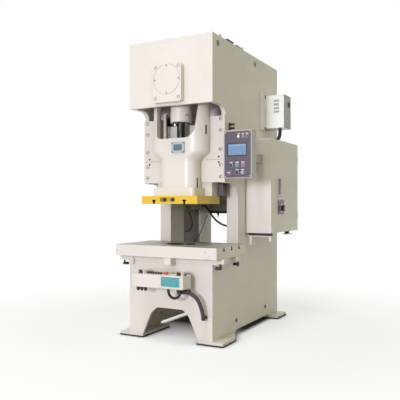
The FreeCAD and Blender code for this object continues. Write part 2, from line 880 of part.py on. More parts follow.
def slide_tool_plate():
    """The tool face: a thick plate with T-slots that open downwards."""
    w = slide_width / 2.0
    plate = box(-w, w, slide_front_y, slide_rear_y, slide_bottom_z, flange_top_z)
    y0 = slide_front_y - 5
    y1 = slide_rear_y + 5
    roof_z = slide_bottom_z + slot_depth
    tools = []
    for x in (-tool_slot_x, tool_slot_x):
        tools.append(box(x - slot_mouth / 2, x + slot_mouth / 2, y0, y1, slide_bottom_z - 5, roof_z))
        tools.append(box(x - slot_head / 2, x + slot_head / 2, y0, y1, roof_z - slot_head_height, roof_z))
    left, right, low, high = shank_recess
    low += slide_bottom_z
    high += slide_bottom_z
    corner = (high - low) / 2.2
    tools.append(profile_y([(left, low, corner), (right, low, corner), (right, high, corner),
                            (left, high, corner)], y0, slide_front_y + 26))
    tools.append(rod_z(slide_bottom_z - 5, slide_bottom_z + shank_depth, 0, bolster_hole_y, shank_hole_r))
    return cut(plate, *tools)


def shank_clamp_screws():
    """Two screws in the recess that grip a tool's shank."""
    z = slide_bottom_z + (shank_recess[2] + shank_recess[3]) / 2.0
    screws = []
    for x in shank_screw_x:
        washer = rod_y_axis(slide_front_y + 18, slide_front_y + 26, x, z, shank_screw_across * 0.63)
        head = hex_y(slide_front_y + 2, slide_front_y + 18, x, z, shank_screw_across)
        screws.append(fuse(washer, head))
    return group(screws)


def height_counter():
    """The frame of the die-height counter on the front of the barrel."""
    y0 = barrel_front_y - counter_proud
    x0, x1 = counter_x
    z0, z1 = counter_z
    corner = counter_recess + 2.0
    plate = profile_y([(x0, z0, corner), (x1, z0, corner), (x1, z1, corner), (x0, z1, corner)],
                      y0, barrel_front_y + 30)
    window = box(x0 + counter_margin_x, x1 - counter_margin_x, y0 - 2, y0 + counter_recess,
                 z0 + counter_margin_z, z1 - counter_margin_z)
    return cut(plate, window)


def adjust_drive():
    """The die-height drive on the slide's shoulder, and the rod with its knob."""
    low = slide_back_top_z
    block = box(*height_drive_x, *height_drive_y, low, low + height_drive_height)
    stem_top = low + height_drive_height * 0.85
    stem = rod_z(low, stem_top + 1, height_rod_x, height_rod_y, height_rod_r)
    knob = rod_z(stem_top, stem_top + 1.6 * height_knob_r, height_rod_x, height_rod_y, height_knob_r)
    return group([block, fuse(stem, knob)])


# ---------------------------------------------------------------- crank train

def crankshaft():
    """Front journal, two webs with the crank pin between them, and the long rear journal."""
    front = rod_y_axis(journal_front_y, web_front_y + 1, 0, crank_z, front_journal_r)

    def web(y0, y1):
        upper = rod_y_axis(y0, y1, 0, pin_z, web_r)
        lower = rod_y_axis(y0, y1, 0, crank_z, web_r)
        middle = box(-web_r, web_r, y0, y1, crank_z, pin_z)
        return fuse(lower, upper, middle)

    pin = rod_y_axis(web_front_y + 1, web_back_y - 1, 0, pin_z, pin_r)
    rear = rod_y_axis(web_back_y - 1, gear_y - 10, 0, crank_z, rear_journal_r)
    seat = rod_y_axis(gear_y - 10, gear_y + gear_width + 10, 0, crank_z, gear_seat_r)
    end_y = gear_wall_y + gear_wall + 2 * boss_length
    end = rod_y_axis(gear_y + gear_width + 10, end_y, 0, crank_z, end_journal_r)
    front_web = web(web_front_y, rod_front_y - side_gap)
    rear_web = web(rod_back_y + side_gap, web_back_y)
    return fuse(front, front_web, pin, rear_web, rear, seat, end)


def bush(y0, y1, z, r, wall):
    return rod_y_axis(y0, y1, 0, z, r + wall).cut(rod_y_axis(y0 - 1, y1 + 1, 0, z, r + bush_gap))


def involute_gear(teeth, y0, y1, z, bore_r, phase):
    """A spur gear along Y with involute flanks. phase is the angle of one tooth's middle."""
    pitch_r = gear_module * teeth / 2.0
    base_r = pitch_r * math.cos(math.radians(pressure_angle))
    tip_r = pitch_r + gear_module * 0.95
    root_r = pitch_r - gear_module * 1.2
    play = tooth_play / pitch_r

    def roll(r):
        if r <= base_r:
            return 0.0
        angle = math.acos(base_r / r)
        return math.tan(angle) - angle

    half_tooth = math.pi / (2 * teeth) - play
    at_pitch = roll(pitch_r)
    radii = [root_r, pitch_r, tip_r]
    corners = []
    for i in range(teeth):
        middle = phase + 2 * math.pi * i / teeth
        for r in radii:
            angle = middle - half_tooth - at_pitch + roll(r)
            corners.append(Vector(r * math.cos(angle), y0, z + r * math.sin(angle)))
        for r in reversed(radii):
            angle = middle + half_tooth + at_pitch - roll(r)
            corners.append(Vector(r * math.cos(angle), y0, z + r * math.sin(angle)))
    corners.append(corners[0])
    blank = Part.Face(Part.makePolygon(corners)).extrude(Vector(0, y1 - y0, 0))
    return blank.cut(rod_y_axis(y0 - 1, y1 + 1, 0, z, bore_r)) if bore_r else blank


def holes_round(count, ring_r, y0, y1, z, r):
    """Round cutters spaced evenly about an axis along Y."""
    holes = []
    for i in range(count):
        angle = 2 * math.pi * i / count + math.pi / 2
        holes.append(rod_y_axis(y0, y1, ring_r * math.cos(angle), z + ring_r * math.sin(angle), r))
    return holes


def main_gear():
    """The big gear on the crank: teeth, rim, web with holes, and hub."""
    y1 = gear_y + gear_width
    gear = involute_gear(gear_teeth, gear_y, y1, crank_z, gear_seat_r, -math.pi / 2)
    rim_r = gear_pitch_r - gear_module * 1.2 - gear_rim
    recess = (gear_width - gear_web) / 2.0
    tools = []
    for a, b in ((gear_y - 1, gear_y + recess), (y1 - recess, y1 + 1)):
        tools.append(rod_y_axis(a, b, 0, crank_z, rim_r).cut(rod_y_axis(a, b, 0, crank_z, gear_hub_r)))
    ring = (rim_r + gear_hub_r) / 2.0
    tools += holes_round(gear_holes, ring, gear_y, y1, crank_z, gear_hole_r)
    return cut(gear, *tools)


def pinion_shaft():
    """The pinion cut on its shaft, with journals in both walls and at the back."""
    space = math.pi / 2 + math.pi / pinion_teeth
    pinion = involute_gear(pinion_teeth, gear_y - pinion_extra, gear_y + gear_width + pinion_extra,
                           pinion_z, 0, space)
    front = rod_y_axis(mid_wall_y, gear_y, 0, pinion_z, pinion_journal_r)
    long_part = rod_y_axis(gear_y + gear_width, flywheel_y + flywheel_width + clutch_width + shaft_tail, 0,
                           pinion_z, pinion_shaft_r)
    return fuse(pinion, front, long_part)


def big_end_bore():
    return rod_y_axis(rod_front_y - 5, rod_back_y + 5, 0, pin_z, pin_r + bush_gap)


def connecting_rod():
    """Big end round the crank pin, a neck that clears the webs, and the round head below."""
    ring = rod_y_axis(rod_front_y, rod_back_y, 0, pin_z, big_end_r)
    neck = box(-neck_of_rod, neck_of_rod, rod_front_y + neck_inset, rod_back_y - neck_inset,
               head_top_z - 1, pin_z)
    head = rod_z(head_bottom_z, head_top_z, 0, rod_y, head_r)
    upper = box(-big_end_r - 5, big_end_r + 5, rod_front_y - 5, rod_back_y + 5, pin_z, pin_z + big_end_r + 5)
    body = cut(fuse(ring, neck, head), big_end_bore(), upper)
    return fuse(body, *rim_screws())


def rod_cap():
    """The upper half of the big end."""
    ring = rod_y_axis(rod_front_y, rod_back_y, 0, pin_z, big_end_r)
    lower = box(-big_end_r - 5, big_end_r + 5, rod_front_y - 5, rod_back_y + 5, pin_z - big_end_r - 5, pin_z)
    return cut(ring, big_end_bore(), lower)


def adjusting_screw():
    """The black screw with the ball that presses on the slide."""
    stem = rod_z(ball_z, head_bottom_z, 0, rod_y, screw_r)
    ball = Part.makeSphere(ball_r, Vector(0, rod_y, ball_z))
    return fuse(stem, ball)


def rim_screws():
    """Screws round the lower rim of the rod's head."""
    screws = []
    ring_r = (head_r + screw_r) / 2.0 + rim_screw_r
    for i in range(rim_screw_count):
        angle = 2 * math.pi * (i + 0.3) / rim_screw_count
        x = ring_r * math.cos(angle)
        y = rod_y + ring_r * math.sin(angle)
        screws.append(rod_z(head_bottom_z - rim_screw_proud, head_bottom_z + 2, x, y, rim_screw_r))
    return screws


def lock_knob():
    """The knob that locks the screw, under the front of the rod's head."""
    y = rod_y - lock_knob_inset
    stem = rod_z(head_bottom_z - lock_knob_r, head_bottom_z, lock_knob_x, y, lock_knob_r * 0.45)
    grip = rod_z(head_bottom_z - 2.4 * lock_knob_r, head_bottom_z - lock_knob_r + 1, lock_knob_x, y,
                 lock_knob_r)
    return fuse(stem, grip)


# ---------------------------------------------------------------- flywheel, belts and motor

def belt_centres():
    first = flywheel_y + flywheel_width / 2.0 - belt_pitch * (belt_count - 1) / 2.0
    return [first + belt_pitch * i for i in range(belt_count)]


def grooves(r_outer, r_inner, z):
    """Belt grooves as ring cutters about an axis along Y."""
    rings = []
    for y in belt_centres():
        w = belt_width / 2.0 + belt_play
        ring = rod_y_axis(y - w, y + w, 0, z, r_outer + 5).cut(rod_y_axis(y - w, y + w, 0, z, r_inner))
        rings.append(ring)
    return rings


def flywheel():
    y0 = flywheel_y
    y1 = flywheel_y + flywheel_width
    bore = pinion_shaft_r + bush_gap
    rim = flywheel_r - flywheel_rim
    a = (flywheel_width - flywheel_web) / 2.0
    points = [(bore, y0), (flywheel_hub_r, y0), (flywheel_hub_r, y0 + a), (rim, y0 + a), (rim, y0),
              (flywheel_r, y0), (flywheel_r, y1), (rim, y1), (rim, y1 - a), (flywheel_hub_r, y1 - a),
              (flywheel_hub_r, y1), (bore, y1)]
    wheel = turned_y(points, 0, pinion_z)
    tools = grooves(flywheel_r, belt_flywheel_r - belt_play, pinion_z)
    ring = (rim + flywheel_hub_r) / 2.0
    tools += holes_round(flywheel_holes, ring, y0, y1, pinion_z, flywheel_hole_r)
    return cut(wheel, *tools)


def clutch():
    """Clutch and brake unit on the end of the pinion shaft."""
    y0 = flywheel_y + flywheel_width + side_gap
    y1 = y0 + clutch_width
    points = [(pinion_shaft_r, y0), (clutch_r, y0), (clutch_r, y0 + 16), (clutch_r - 26, y0 + 16),
              (clutch_r - 26, y1), (pinion_shaft_r, y1)]
    return turned_y(points, 0, pinion_z)


def motor_pulley():
    y0 = belt_centres()[0] - belt_pitch / 2 - 6
    y1 = belt_centres()[-1] + belt_pitch / 2 + 6
    body = rod_y_axis(y0, y1, 0, motor_z, belt_pulley_r + belt_height)
    bore = rod_y_axis(y0 - 1, y1 + 1, 0, motor_z, motor_shaft_r)
    return cut(body, bore, *grooves(belt_pulley_r + belt_height, belt_pulley_r - belt_play, motor_z))


def motor_front_y():
    return frame_depth - wall_plate - motor_gap - motor_length


def motor_shaft():
    y1 = belt_centres()[-1] + belt_pitch / 2 + 12
    return rod_y_axis(motor_front_y() + motor_length - 40, y1, 0, motor_z, motor_shaft_r)


def belt_loop(gap, extra):
    """The area inside a belt: two circles and their outer tangents."""
    r1 = belt_flywheel_r + gap + extra
    r2 = belt_pulley_r + gap + extra
    distance = pinion_z - motor_z
    lean = math.asin((r1 - r2) / distance)
    c = math.cos(lean)
    s = math.sin(lean)
    top_right = Vector(r1 * c, 0, pinion_z - r1 * s)
    top_left = Vector(-r1 * c, 0, pinion_z - r1 * s)
    low_right = Vector(r2 * c, 0, motor_z - r2 * s)
    low_left = Vector(-r2 * c, 0, motor_z - r2 * s)
    edges = [
        Part.Arc(top_right, Vector(0, 0, pinion_z + r1), top_left).toShape(),
        Part.LineSegment(top_left, low_left).toShape(),
        Part.Arc(low_left, Vector(0, 0, motor_z - r2), low_right).toShape(),
        Part.LineSegment(low_right, top_right).toShape(),
    ]
    return Part.Face(Part.Wire(edges))


def belts():
    loops = []
    for y in belt_centres():
        outer = belt_loop(belt_height - belt_play, 0.0).extrude(Vector(0, belt_width - belt_play, 0))
        hole = belt_loop(0.0, 0.0).extrude(Vector(0, belt_width, 0))
        loop = outer.cut(hole)
        loop.translate(Vector(0, y - (belt_width - belt_play) / 2.0, 0))
        loops.append(loop)
    return group(loops)


def motor():
    """The motor's finned body with end shields, hung on the rear plate by its flange."""
    y0 = motor_front_y()
    y1 = y0 + motor_length
    body = rod_y_axis(y0 + 40, y1 - 30, 0, motor_z, motor_r - 14)
    cowl = rod_y_axis(y0, y0 + 70, 0, motor_z, motor_r)
    shield = rod_y_axis(y1 - 36, y1, 0, motor_z, motor_r)
    fins = []
    for i in range(motor_fins):
        fin = box(motor_r - 20, motor_r, y0 + 60, y1 - 30, motor_z - 2.5, motor_z + 2.5)
        fin.rotate(Vector(0, 0, motor_z), Vector(0, 1, 0), 360.0 * i / motor_fins)
        fins.append(fin)
    terminal = box(-60, 60, y0 + 110, y0 + 230, motor_z + motor_r - 22, motor_z + motor_r + 48)
    shaft_room = rod_y_axis(y1 - 60, y1 + 5, 0, motor_z, motor_shaft_r + bush_gap)
    return cut(fuse(body, cowl, shield, terminal, *fins), shaft_room)


def belt_guard():
    """The sheet cover over the flywheel and belts on the back of the press."""
    shell = belt_loop(belt_height, guard_gap + guard_sheet).extrude(Vector(0, guard_depth, 0))
    hollow = belt_loop(belt_height, guard_gap).extrude(Vector(0, guard_depth - guard_sheet, 0))
    cover = shell.cut(hollow)
    cover.translate(Vector(0, frame_depth, 0))
    vents = []
    y1 = frame_depth + guard_depth
    for i in range(guard_slot_rows):
        z = pinion_z + guard_slot_pitch * (i - (guard_slot_rows - 1) / 2.0)
        for x0, x1 in ((-guard_slot_half, -guard_slot_gap), (guard_slot_gap, guard_slot_half)):
            vents.append(box(x0, x1, y1 - 10, y1 + 5, z - 9, z + 9))
    return cut(cover, *vents)


# ---------------------------------------------------------------- crown fittings

def bearing_cover():
    """The cover over the front crank bearing, with the round cap let into it."""
    front_y = -cover_thickness
    plate = profile_y([(-cover_half, cover_bottom_z, cover_corner),
                       (cover_half, cover_bottom_z, cover_corner),
                       (cover_half, cover_top_z, cover_corner),
                       (-cover_half, cover_top_z, cover_corner)],
                      front_y, 0)
    ring = rod_y_axis(front_y - 1, front_y + disc_groove_depth, 0, crank_z, disc_r)
    groove = rod_y_axis(front_y - 1, front_y + disc_groove_depth, 0, crank_z, disc_r + disc_groove)
    room = rod_y_axis(journal_front_y - 5, 1, 0, crank_z, front_journal_r + bush_wall)
    holes = []
    for x in (-cover_screw_dx, cover_screw_dx):
        for z in cover_screw_z:
            holes.append(rod_y_axis(front_y - 1, front_y + screw_head_r - screw_sink, x, z,
                                    screw_head_r + button_play))
    return cut(plate, groove.cut(ring), room, *holes)


def lifting_eyes():
    """Eye bolts standing on the crown's top near its right edge."""
    x = half - top_fitting_inset
    eyes = []
    for y in eye_y:
        z = frame_height + eye_ring_r + eye_wire_r
        ring = rod_x(x - eye_wire_r, x + eye_wire_r, y, z, eye_ring_r + eye_wire_r)
        hole = rod_x(x - eye_ring_r, x + eye_ring_r, y, z, eye_ring_r - eye_wire_r)
        collar = rod_z(frame_height, frame_height + eye_wire_r, x, y, eye_ring_r * 0.8)
        eyes.append(cut(fuse(ring, collar), hole))
    return group(eyes)


def lube_block():
    """The oil distributor on the crown's top, and the junction plate behind it."""
    x = half - top_fitting_inset
    bar = box(x - lube_bar_half, x + lube_bar_half, lube_bar_y[0], lube_bar_y[1], frame_height,
              frame_height + lube_bar_height)
    y0, y1 = junction_y
    crest = y0 + (y1 - y0) * 0.3
    top = frame_height + junction_height
    low = profile_x([(y0, frame_height), (y1, frame_height), (y1, top - junction_height * 0.3),
                     (crest, top), (y0 + junction_height, frame_height + junction_height * 0.3)],
                    x - lube_bar_half, x + lube_bar_half)
    return group([bar, low])


def cable_glands():
    """Glands on the right side plate, and the hoses' fittings under the console and on the base."""
    glands = []
    for drop in side_gland_drop:
        z = crown_bottom_z - drop
        spigot = rod_x(half, half + side_gland_length, side_gland_y, z, side_gland_r)
        nut = rod_x(half, half + side_gland_r * 1.5, side_gland_y, z, side_gland_r * 1.5)
        glands.append(fuse(spigot, nut))
    x, y, z = air_route[0]
    r = air_hose_r + gland_wall
    elbow_r = r + gland_wall
    middle_x = x - elbow_r - gland_wall
    glands.append(fuse(rod_z(z - elbow_r, console_bottom_z, middle_x, y, elbow_r),
                       rod_x(middle_x, x, y, z, r)))
    x, y, z = air_route[-1]
    glands.append(fuse(rod_z(z - 2 * r, z, x, y, r), rod_y_axis(y, 0, x, z - r, air_hose_r)))
    for x, y, z in (loop_route[0], loop_route[-1]):
        glands.append(rod_z(z, console_bottom_z, x, y, loop_hose_r + gland_wall))
    x, y, z = drive_route[0]
    glands.append(rod_z(z, box_bottom_z, x, y, drive_hose_r + gland_wall))
    x, y, z = drive_route[-1]
    glands.append(rod_x(half, x, y, z, drive_hose_r + gland_wall))
    x, y, z = throat_route[-1]
    glands.append(rod_x(x, inner, y, z, throat_hose_r + gland_wall))
    return group(glands)


# ---------------------------------------------------------------- console

def console_outline(inset):
    return [
        (console_front_y + inset, console_bottom_z + inset),
        (console_back_y - inset, console_bottom_z + inset),
        (console_back_y - inset, console_top_z - inset),
        (console_front_y + inset, console_top_z - inset),
    ]


def console_box():
    """The sheet box, with a half collar round each palm button against accidental strokes."""
    shell = profile_x(console_outline(0.0), -console_half, console_half)
    room = profile_x(console_outline(console_wall), -console_half + console_wall, console_half - console_wall)
    collars = []
    for x in (-palm_x, palm_x):
        ring = rod_z(console_top_z - 1, console_top_z + guard_height, x, console_mid_y, palm_r + 12)
        mouth = box(x - palm_r * 0.8, x + palm_r * 0.8, console_front_y - 20, console_mid_y,
                    console_top_z, console_top_z + guard_height + 5)
        hollow = rod_z(console_top_z, console_top_z + guard_height + 5, x, console_mid_y, palm_r + 8)
        collars.append(cut(ring, hollow, mouth))
    bores = [room]
    for x in (-palm_x, palm_x, stop_x):
        bores.append(rod_z(console_top_z - 10, console_top_z + 5, x, console_mid_y, stem_r + button_play))
    return fuse(cut(fuse(shell, *collars), *bores), console_bracket())


def console_bracket():
    """The dark block that holds the console off the base."""
    return box(-console_bracket_half, console_bracket_half, console_back_y, 0, console_bottom_z + 10,
               console_top_z - 10)


def palm_button():
    """A mushroom button on its stem, free to go down into the console."""
    x, y = palm_x, console_mid_y
    low = console_top_z + palm_travel + 2
    cone = Part.makeCone(stem_r + 4, palm_r, palm_cap, Vector(x, y, low), Vector(0, 0, 1))
    rim = rod_z(low + palm_cap, low + palm_cap + 4, x, y, palm_r)
    stem = rod_z(console_top_z - 26, low + 2, x, y, stem_r)
    return fuse(cone, rim, stem)


def stop_button():
    """The red mushroom of the emergency stop."""
    x, y = stop_x, console_mid_y
    low = console_top_z + stop_travel + 4
    cap = Part.makeCone(stop_r * 0.8, stop_r, 8, Vector(x, y, low), Vector(0, 0, 1))
    top = Part.makeCone(stop_r, stop_r * 0.6, 9, Vector(x, y, low + 8), Vector(0, 0, 1))
    stem = rod_z(console_top_z - 26, low + 2, x, y, stem_r)
    return fuse(cap, top, stem)


def console_switches():
    """The row of small selector switches on the console's top, and the reset beside them."""
    first, last = toggle_x
    switches = []
    for i in range(toggle_count):
        x = first + (last - first) * i / (toggle_count - 1)
        collar = rod_z(console_top_z, console_top_z + 8, x, console_mid_y, 13)
        grip = box(x - 4, x + 4, console_mid_y - 12, console_mid_y + 12, console_top_z + 7,
                   console_top_z + 20)
        switches.append(fuse(collar, grip))
    x = console_half - 15
    switches.append(rod_z(console_top_z, console_top_z + 18, x, console_mid_y, 9))
    return group(switches)


def console_plate():
    """The coloured plate on the console's front."""
    return box(teal_x[0], teal_x[1], console_front_y - 2, console_front_y, teal_z[0], teal_z[1])


# ---------------------------------------------------------------- operator's panel

def control_places():
    """The centres of what goes through the panel's face and turns or is pushed."""
    places = [(x, push_z) for x in push_x] + [selector_place, key_place]
    return [(panel_left + x, z) for x, z in places]


def stem_bores(y0, y1):
    return [rod_y_axis(y0, y1, x, z, button_stem_r + button_play) for x, z in control_places()]


def panel_box():
    """The panel's shell, on the arm that carries it from the cabinet."""
    shell = box(panel_left, panel_right, panel_front_y, panel_back_y, panel_bottom_z, panel_top_z)
    room = box(panel_left + panel_skin, panel_right - panel_skin, panel_front_y + panel_skin,
               panel_back_y - panel_skin, panel_bottom_z + panel_skin, panel_top_z - panel_skin)
    arm = box(panel_left + arm_x[0], panel_left + arm_x[1], panel_back_y - 1, cabinet_front_y, *arm_z)
    return cut(fuse(shell, arm), room, *stem_bores(panel_front_y - 5, panel_front_y + 10))


def panel_face():
    """The dark plate in the panel's pale frame: lamps above, the screen's recess, bores below."""
    plate = box(panel_left + panel_rim, panel_right - panel_rim, panel_face_y, panel_front_y,
                panel_bottom_z + panel_rim, panel_top_z - panel_rim)
    recess = box(panel_left + screen_x[0], panel_left + screen_x[1], panel_face_y - 1,
                 panel_front_y - 0.8, *screen_z)
    lamps = []
    for x in lamp_x:
        lamps.append(rod_y_axis(panel_face_y - 8, panel_face_y + 1, panel_left + x, lamp_z, 12))
    return cut(fuse(plate, *lamps), recess, *stem_bores(panel_face_y - 5, panel_front_y + 5))


def panel_screen():
    return box(panel_left + screen_x[0] + 1, panel_left + screen_x[1] - 1, panel_front_y - 2.0,
               panel_front_y - 0.8, screen_z[0] + 1, screen_z[1] - 1)


def panel_button(x):
    """A push button with its travel in front of the face."""
    back_y = panel_face_y - button_travel - 1
    x += panel_left
    cap = rod_y_axis(back_y - 7, back_y, x, push_z, button_r)
    stem = rod_y_axis(back_y - 1, panel_front_y + 22, x, push_z, button_stem_r)
    return fuse(cap, stem)


def selector_knob():
    x, z = panel_left + selector_place[0], selector_place[1]
    knob = rod_y_axis(panel_face_y - 8, panel_face_y - 1, x, z, 15)
    grip = box(x - 4, x + 4, panel_face_y - 20, panel_face_y - 7, z - 14, z + 14)
    stem = rod_y_axis(panel_face_y - 3, panel_front_y + 20, x, z, button_stem_r)
    return fuse(knob, grip, stem)


def key_switch():
    x, z = panel_left + key_place[0], key_place[1]
    barrel = rod_y_axis(panel_face_y - 7, panel_face_y - 1, x, z, 12)
    key = box(x - 1.5, x + 1.5, panel_face_y - 32, panel_face_y - 6, z - 9, z + 9)
    stem = rod_y_axis(panel_face_y - 3, panel_front_y + 20, x, z, button_stem_r)
    return fuse(barrel, key, stem)


# ---------------------------------------------------------------- electrical cabinet

def cabinet_body():
    """The steel body, open where the door shuts on it, with its two hinge pins."""
    x1 = cabinet_outer_x - door_thickness
    shell = box(cabinet_inner_x, x1, cabinet_front_y, cabinet_back_y, cabinet_bottom_z, cabinet_top_z)
    strip = box(x1 - 1, cabinet_outer_x, cabinet_front_y, door_front_y - door_gap,
                cabinet_bottom_z, cabinet_top_z)
    room = box(cabinet_inner_x + cabinet_wall, x1 - cabinet_wall, cabinet_front_y + cabinet_wall,
               cabinet_back_y - cabinet_wall, cabinet_bottom_z + cabinet_wall, cabinet_top_z - cabinet_wall)
    mouth = box(x1 - cabinet_wall - 5, x1 + 5, door_front_y + cabinet_lip, cabinet_back_y - cabinet_lip,
                cabinet_bottom_z + cabinet_lip, cabinet_top_z - cabinet_lip)
    hinges = []
    for z in hinge_z:
        leaf = box(hinge_x - 45, hinge_x, cabinet_back_y, cabinet_back_y + hinge_leaf, z,
                   z + hinge_length / 2 - hinge_seam)
        barrel = rod_z(z, z + hinge_length / 2 - hinge_seam, hinge_x, hinge_y, hinge_r)
        pin = rod_z(z, z + hinge_length, hinge_x, hinge_y, hinge_pin_r)
        hinges.append(fuse(leaf, barrel, pin))
    return fuse(cut(fuse(shell, strip), room, mouth), *hinges)


def door_knuckle(z):
    """The door's half of one hinge, on a tab behind the door's edge."""
    z0 = z + hinge_length / 2 + hinge_seam
    z1 = z + hinge_length
    barrel = rod_z(z0, z1, hinge_x, hinge_y, hinge_r)
    tab = box(hinge_x - 5, cabinet_outer_x, cabinet_back_y - 8, hinge_y, z0, z1)
    bore = rod_z(z0 - 5, z1 + 5, hinge_x, hinge_y, hinge_pin_r + bush_gap)
    return cut(fuse(barrel, tab), bore)


def cabinet_door():
    """The door, hinged at its back edge and folded round its rim, with the switch's plate."""
    x0 = cabinet_outer_x - door_thickness + door_gap
    x1 = cabinet_outer_x
    back_y = cabinet_back_y - door_gap
    door = box(x0, x1, door_front_y, back_y, cabinet_bottom_z, cabinet_top_z)
    room = box(x0 - 5, x1 - cabinet_wall, door_front_y + cabinet_wall, back_y - cabinet_wall,
               cabinet_bottom_z + cabinet_wall, cabinet_top_z - cabinet_wall)
    plate = box(x1 - 1, x1 + 8, switch_y[0], switch_y[1], switch_z[0], switch_z[1])
    handle_bore = rod_x(x1 - 10, x1 + 5, handle_y, sum(handle_z) / 2.0, spindle_r + button_play)
    switch_bore = rod_x(x1 - 10, x1 + 15, knob_y, knob_z, spindle_r + button_play)
    knuckles = [door_knuckle(z) for z in hinge_z]
    return cut(fuse(cut(door, room), plate, *knuckles), handle_bore, switch_bore)


def door_handle():
    """A swing handle on its spindle."""
    y0 = handle_y - handle_width / 2.0
    grip = box(cabinet_outer_x + 1, cabinet_outer_x + 20, y0, y0 + handle_width, handle_z[0], handle_z[1])
    spindle = rod_x(cabinet_outer_x - 16, cabinet_outer_x + 5, handle_y, sum(handle_z) / 2.0, spindle_r)
    return fuse(grip, spindle)


def main_switch_knob():
    """The main switch's rotary handle."""
    x = cabinet_outer_x + 9
    disc = rod_x(x, x + 13, knob_y, knob_z, 34)
    grip = box(x + 12, x + 33, knob_y - 9, knob_y + 9, knob_z - 32, knob_z + 32)
    stem = rod_x(cabinet_outer_x - 16, x + 1, knob_y, knob_z, spindle_r)
    return fuse(disc, grip, stem)


def cabinet_mounts():
    """Rails between the cabinets and the side plate, and the shelf on its rubber mounts."""
    pieces = []
    for z in (cabinet_bottom_z + 120, cabinet_top_z - 120):
        pieces.append(box(half, cabinet_inner_x, cabinet_front_y + 60, cabinet_back_y - 60, z - 25, z + 25))
    y = cabinet_front_y + 30
    shelf_z = cabinet_bottom_z - 26
    shelf = box(half, cabinet_outer_x - 40, y, y + 40, shelf_z - 16, shelf_z)
    leg = box(half, half + 8, y, y + 80, shelf_z - 90, shelf_z - 15)
    pieces.append(fuse(shelf, leg))
    for x in (cabinet_inner_x + 34, cabinet_outer_x - 66):
        pieces.append(rod_z(shelf_z, cabinet_bottom_z, x, y + 20, 17))
    pieces.append(box(half, half + 24, strip_y[0], strip_y[1], strip_z[0], strip_z[1]))
    pieces.append(box(half, box_inner_x, box_front_y, box_back_y - 40, box_bottom_z + 60, box_top_z - 60))
    return group(pieces)


# ---------------------------------------------------------------- drive box

def drive_box():
    """The small box near the crown's back, louvred in front, with its latch."""
    shell = box(box_inner_x, box_outer_x, box_front_y, box_back_y, box_bottom_z, box_top_z)
    slots = []
    for row in range(4):
        for k in range(3):
            z = box_top_z - 62 - row * 42 - k * 9
            slots.append(box(box_inner_x + 104, box_inner_x + 170, box_front_y - 5, box_front_y + 12,
                             z, z + 4))
    latch = box(box_outer_x - 1, box_outer_x + 12, latch_y - 12, latch_y + 12, latch_z - 29, latch_z + 29)
    return cut(fuse(shell, latch), *slots)


# ---------------------------------------------------------------- throat fittings

def wiring_box():
    """A junction box on the left plate's inner side, with the pipe that runs down to the bed."""
    x0 = -inner
    x1 = -inner + wiring_depth
    case = box(x0, x1, *wiring_y, *wiring_z)
    pipe_y = wiring_y[1] - wiring_pipe_inset
    pipe = rod_z(bolster_bottom_z, wiring_z[0] + 1, (x0 + x1) / 2.0, pipe_y, wiring_pipe_r)
    foot_half = wiring_pipe_r * 1.7
    base = box(x0, x1, pipe_y - foot_half, pipe_y + foot_half, bolster_bottom_z - 20, bolster_bottom_z)
    return fuse(case, pipe, base)


# ---------------------------------------------------------------- hoses

def hose(points, radius):
    """A tube along straight runs joined by tangent arcs as large as the runs allow."""
    nodes = [Vector(*p) for p in points]
    edges = []
    start = nodes[0]
    for i in range(1, len(nodes) - 1):
        here = nodes[i]
        back = nodes[i - 1] - here
        ahead = nodes[i + 1] - here
        turn = math.pi - back.getAngle(ahead)
        reach = 0.45 * min(back.Length, ahead.Length)
        arc_r = reach / math.tan(turn / 2.0)
        to_back = Vector(back).normalize()
        to_ahead = Vector(ahead).normalize()
        a = here + to_back * reach
        b = here + to_ahead * reach
        middle = here + (to_back + to_ahead).normalize() * (arc_r / math.cos(turn / 2.0) - arc_r)
        print("   bend radius", round(arc_r), "turn", round(math.degrees(turn)), "at", points[i])
        edges.append(Part.LineSegment(start, a).toShape())
        edges.append(Part.Arc(a, middle, b).toShape())
        start = b
    edges.append(Part.LineSegment(start, nodes[-1]).toShape())
    path = Part.Wire(edges)
    heading = nodes[1] - nodes[0]
    circle = Part.Wire(Part.Circle(nodes[0], heading, radius).toShape())
    tube = path.makePipeShell([circle], True, False)
    share = tube.Volume / (math.pi * radius * radius * path.Length)
    print("   length", round(path.Length), "volume share", round(share, 3))
    return tube


# ---------------------------------------------------------------- write the sub-parts

save("frame_side_right", side_plate_right())
save("frame_side_left", mirror_x(side_plate_right()))
save("throat_posts", group([throat_post_right(), mirror_x(throat_post_right())]))
save("slide_guides", group([guide_right(), mirror_x(guide_right())]))
feet = [foot(True), foot(False)]
save("feet", group(feet + [mirror_x(one) for one in feet]))
save("crown_front_plate", crown_front())
save("crown_top_plate", crown_top())
middle_wall = bearing_wall(mid_wall_y, mid_wall, rear_journal_r + bush_wall, pinion_journal_r + bush_wall)
save("crown_bearing_walls", group([middle_wall, gear_wall_with_pan()]))
save("rear_plate", rear_plate())
save("base_front_plate", base_front())
save("base_rear_plate", base_rear())
save("bed_plate", bed())
save("levelling_pads", foot_pads())
save("bolster", bolster())
save("clamp_blocks", clamp_blocks())
gibs = [gib_right(gib_split_z + gib_seam, guide_top_z), gib_right(guide_bottom_z, gib_split_z)]
save("gib_plates", group(gibs + [mirror_x(gib) for gib in gibs]))
save("socket_screws", socket_screws())
save("slide_casting", slide_casting())
save("slide_tool_plate", slide_tool_plate())
save("shank_clamp_screws", shank_clamp_screws())
save("height_adjust_drive", adjust_drive())
save("crankshaft", crankshaft())
save("main_gear", main_gear())
save("pinion_shaft", pinion_shaft())
mid_bush = (mid_wall_y - boss_length, mid_wall_y + mid_wall + boss_length)
gear_bush = (gear_wall_y - boss_length, gear_wall_y + gear_wall + boss_length)
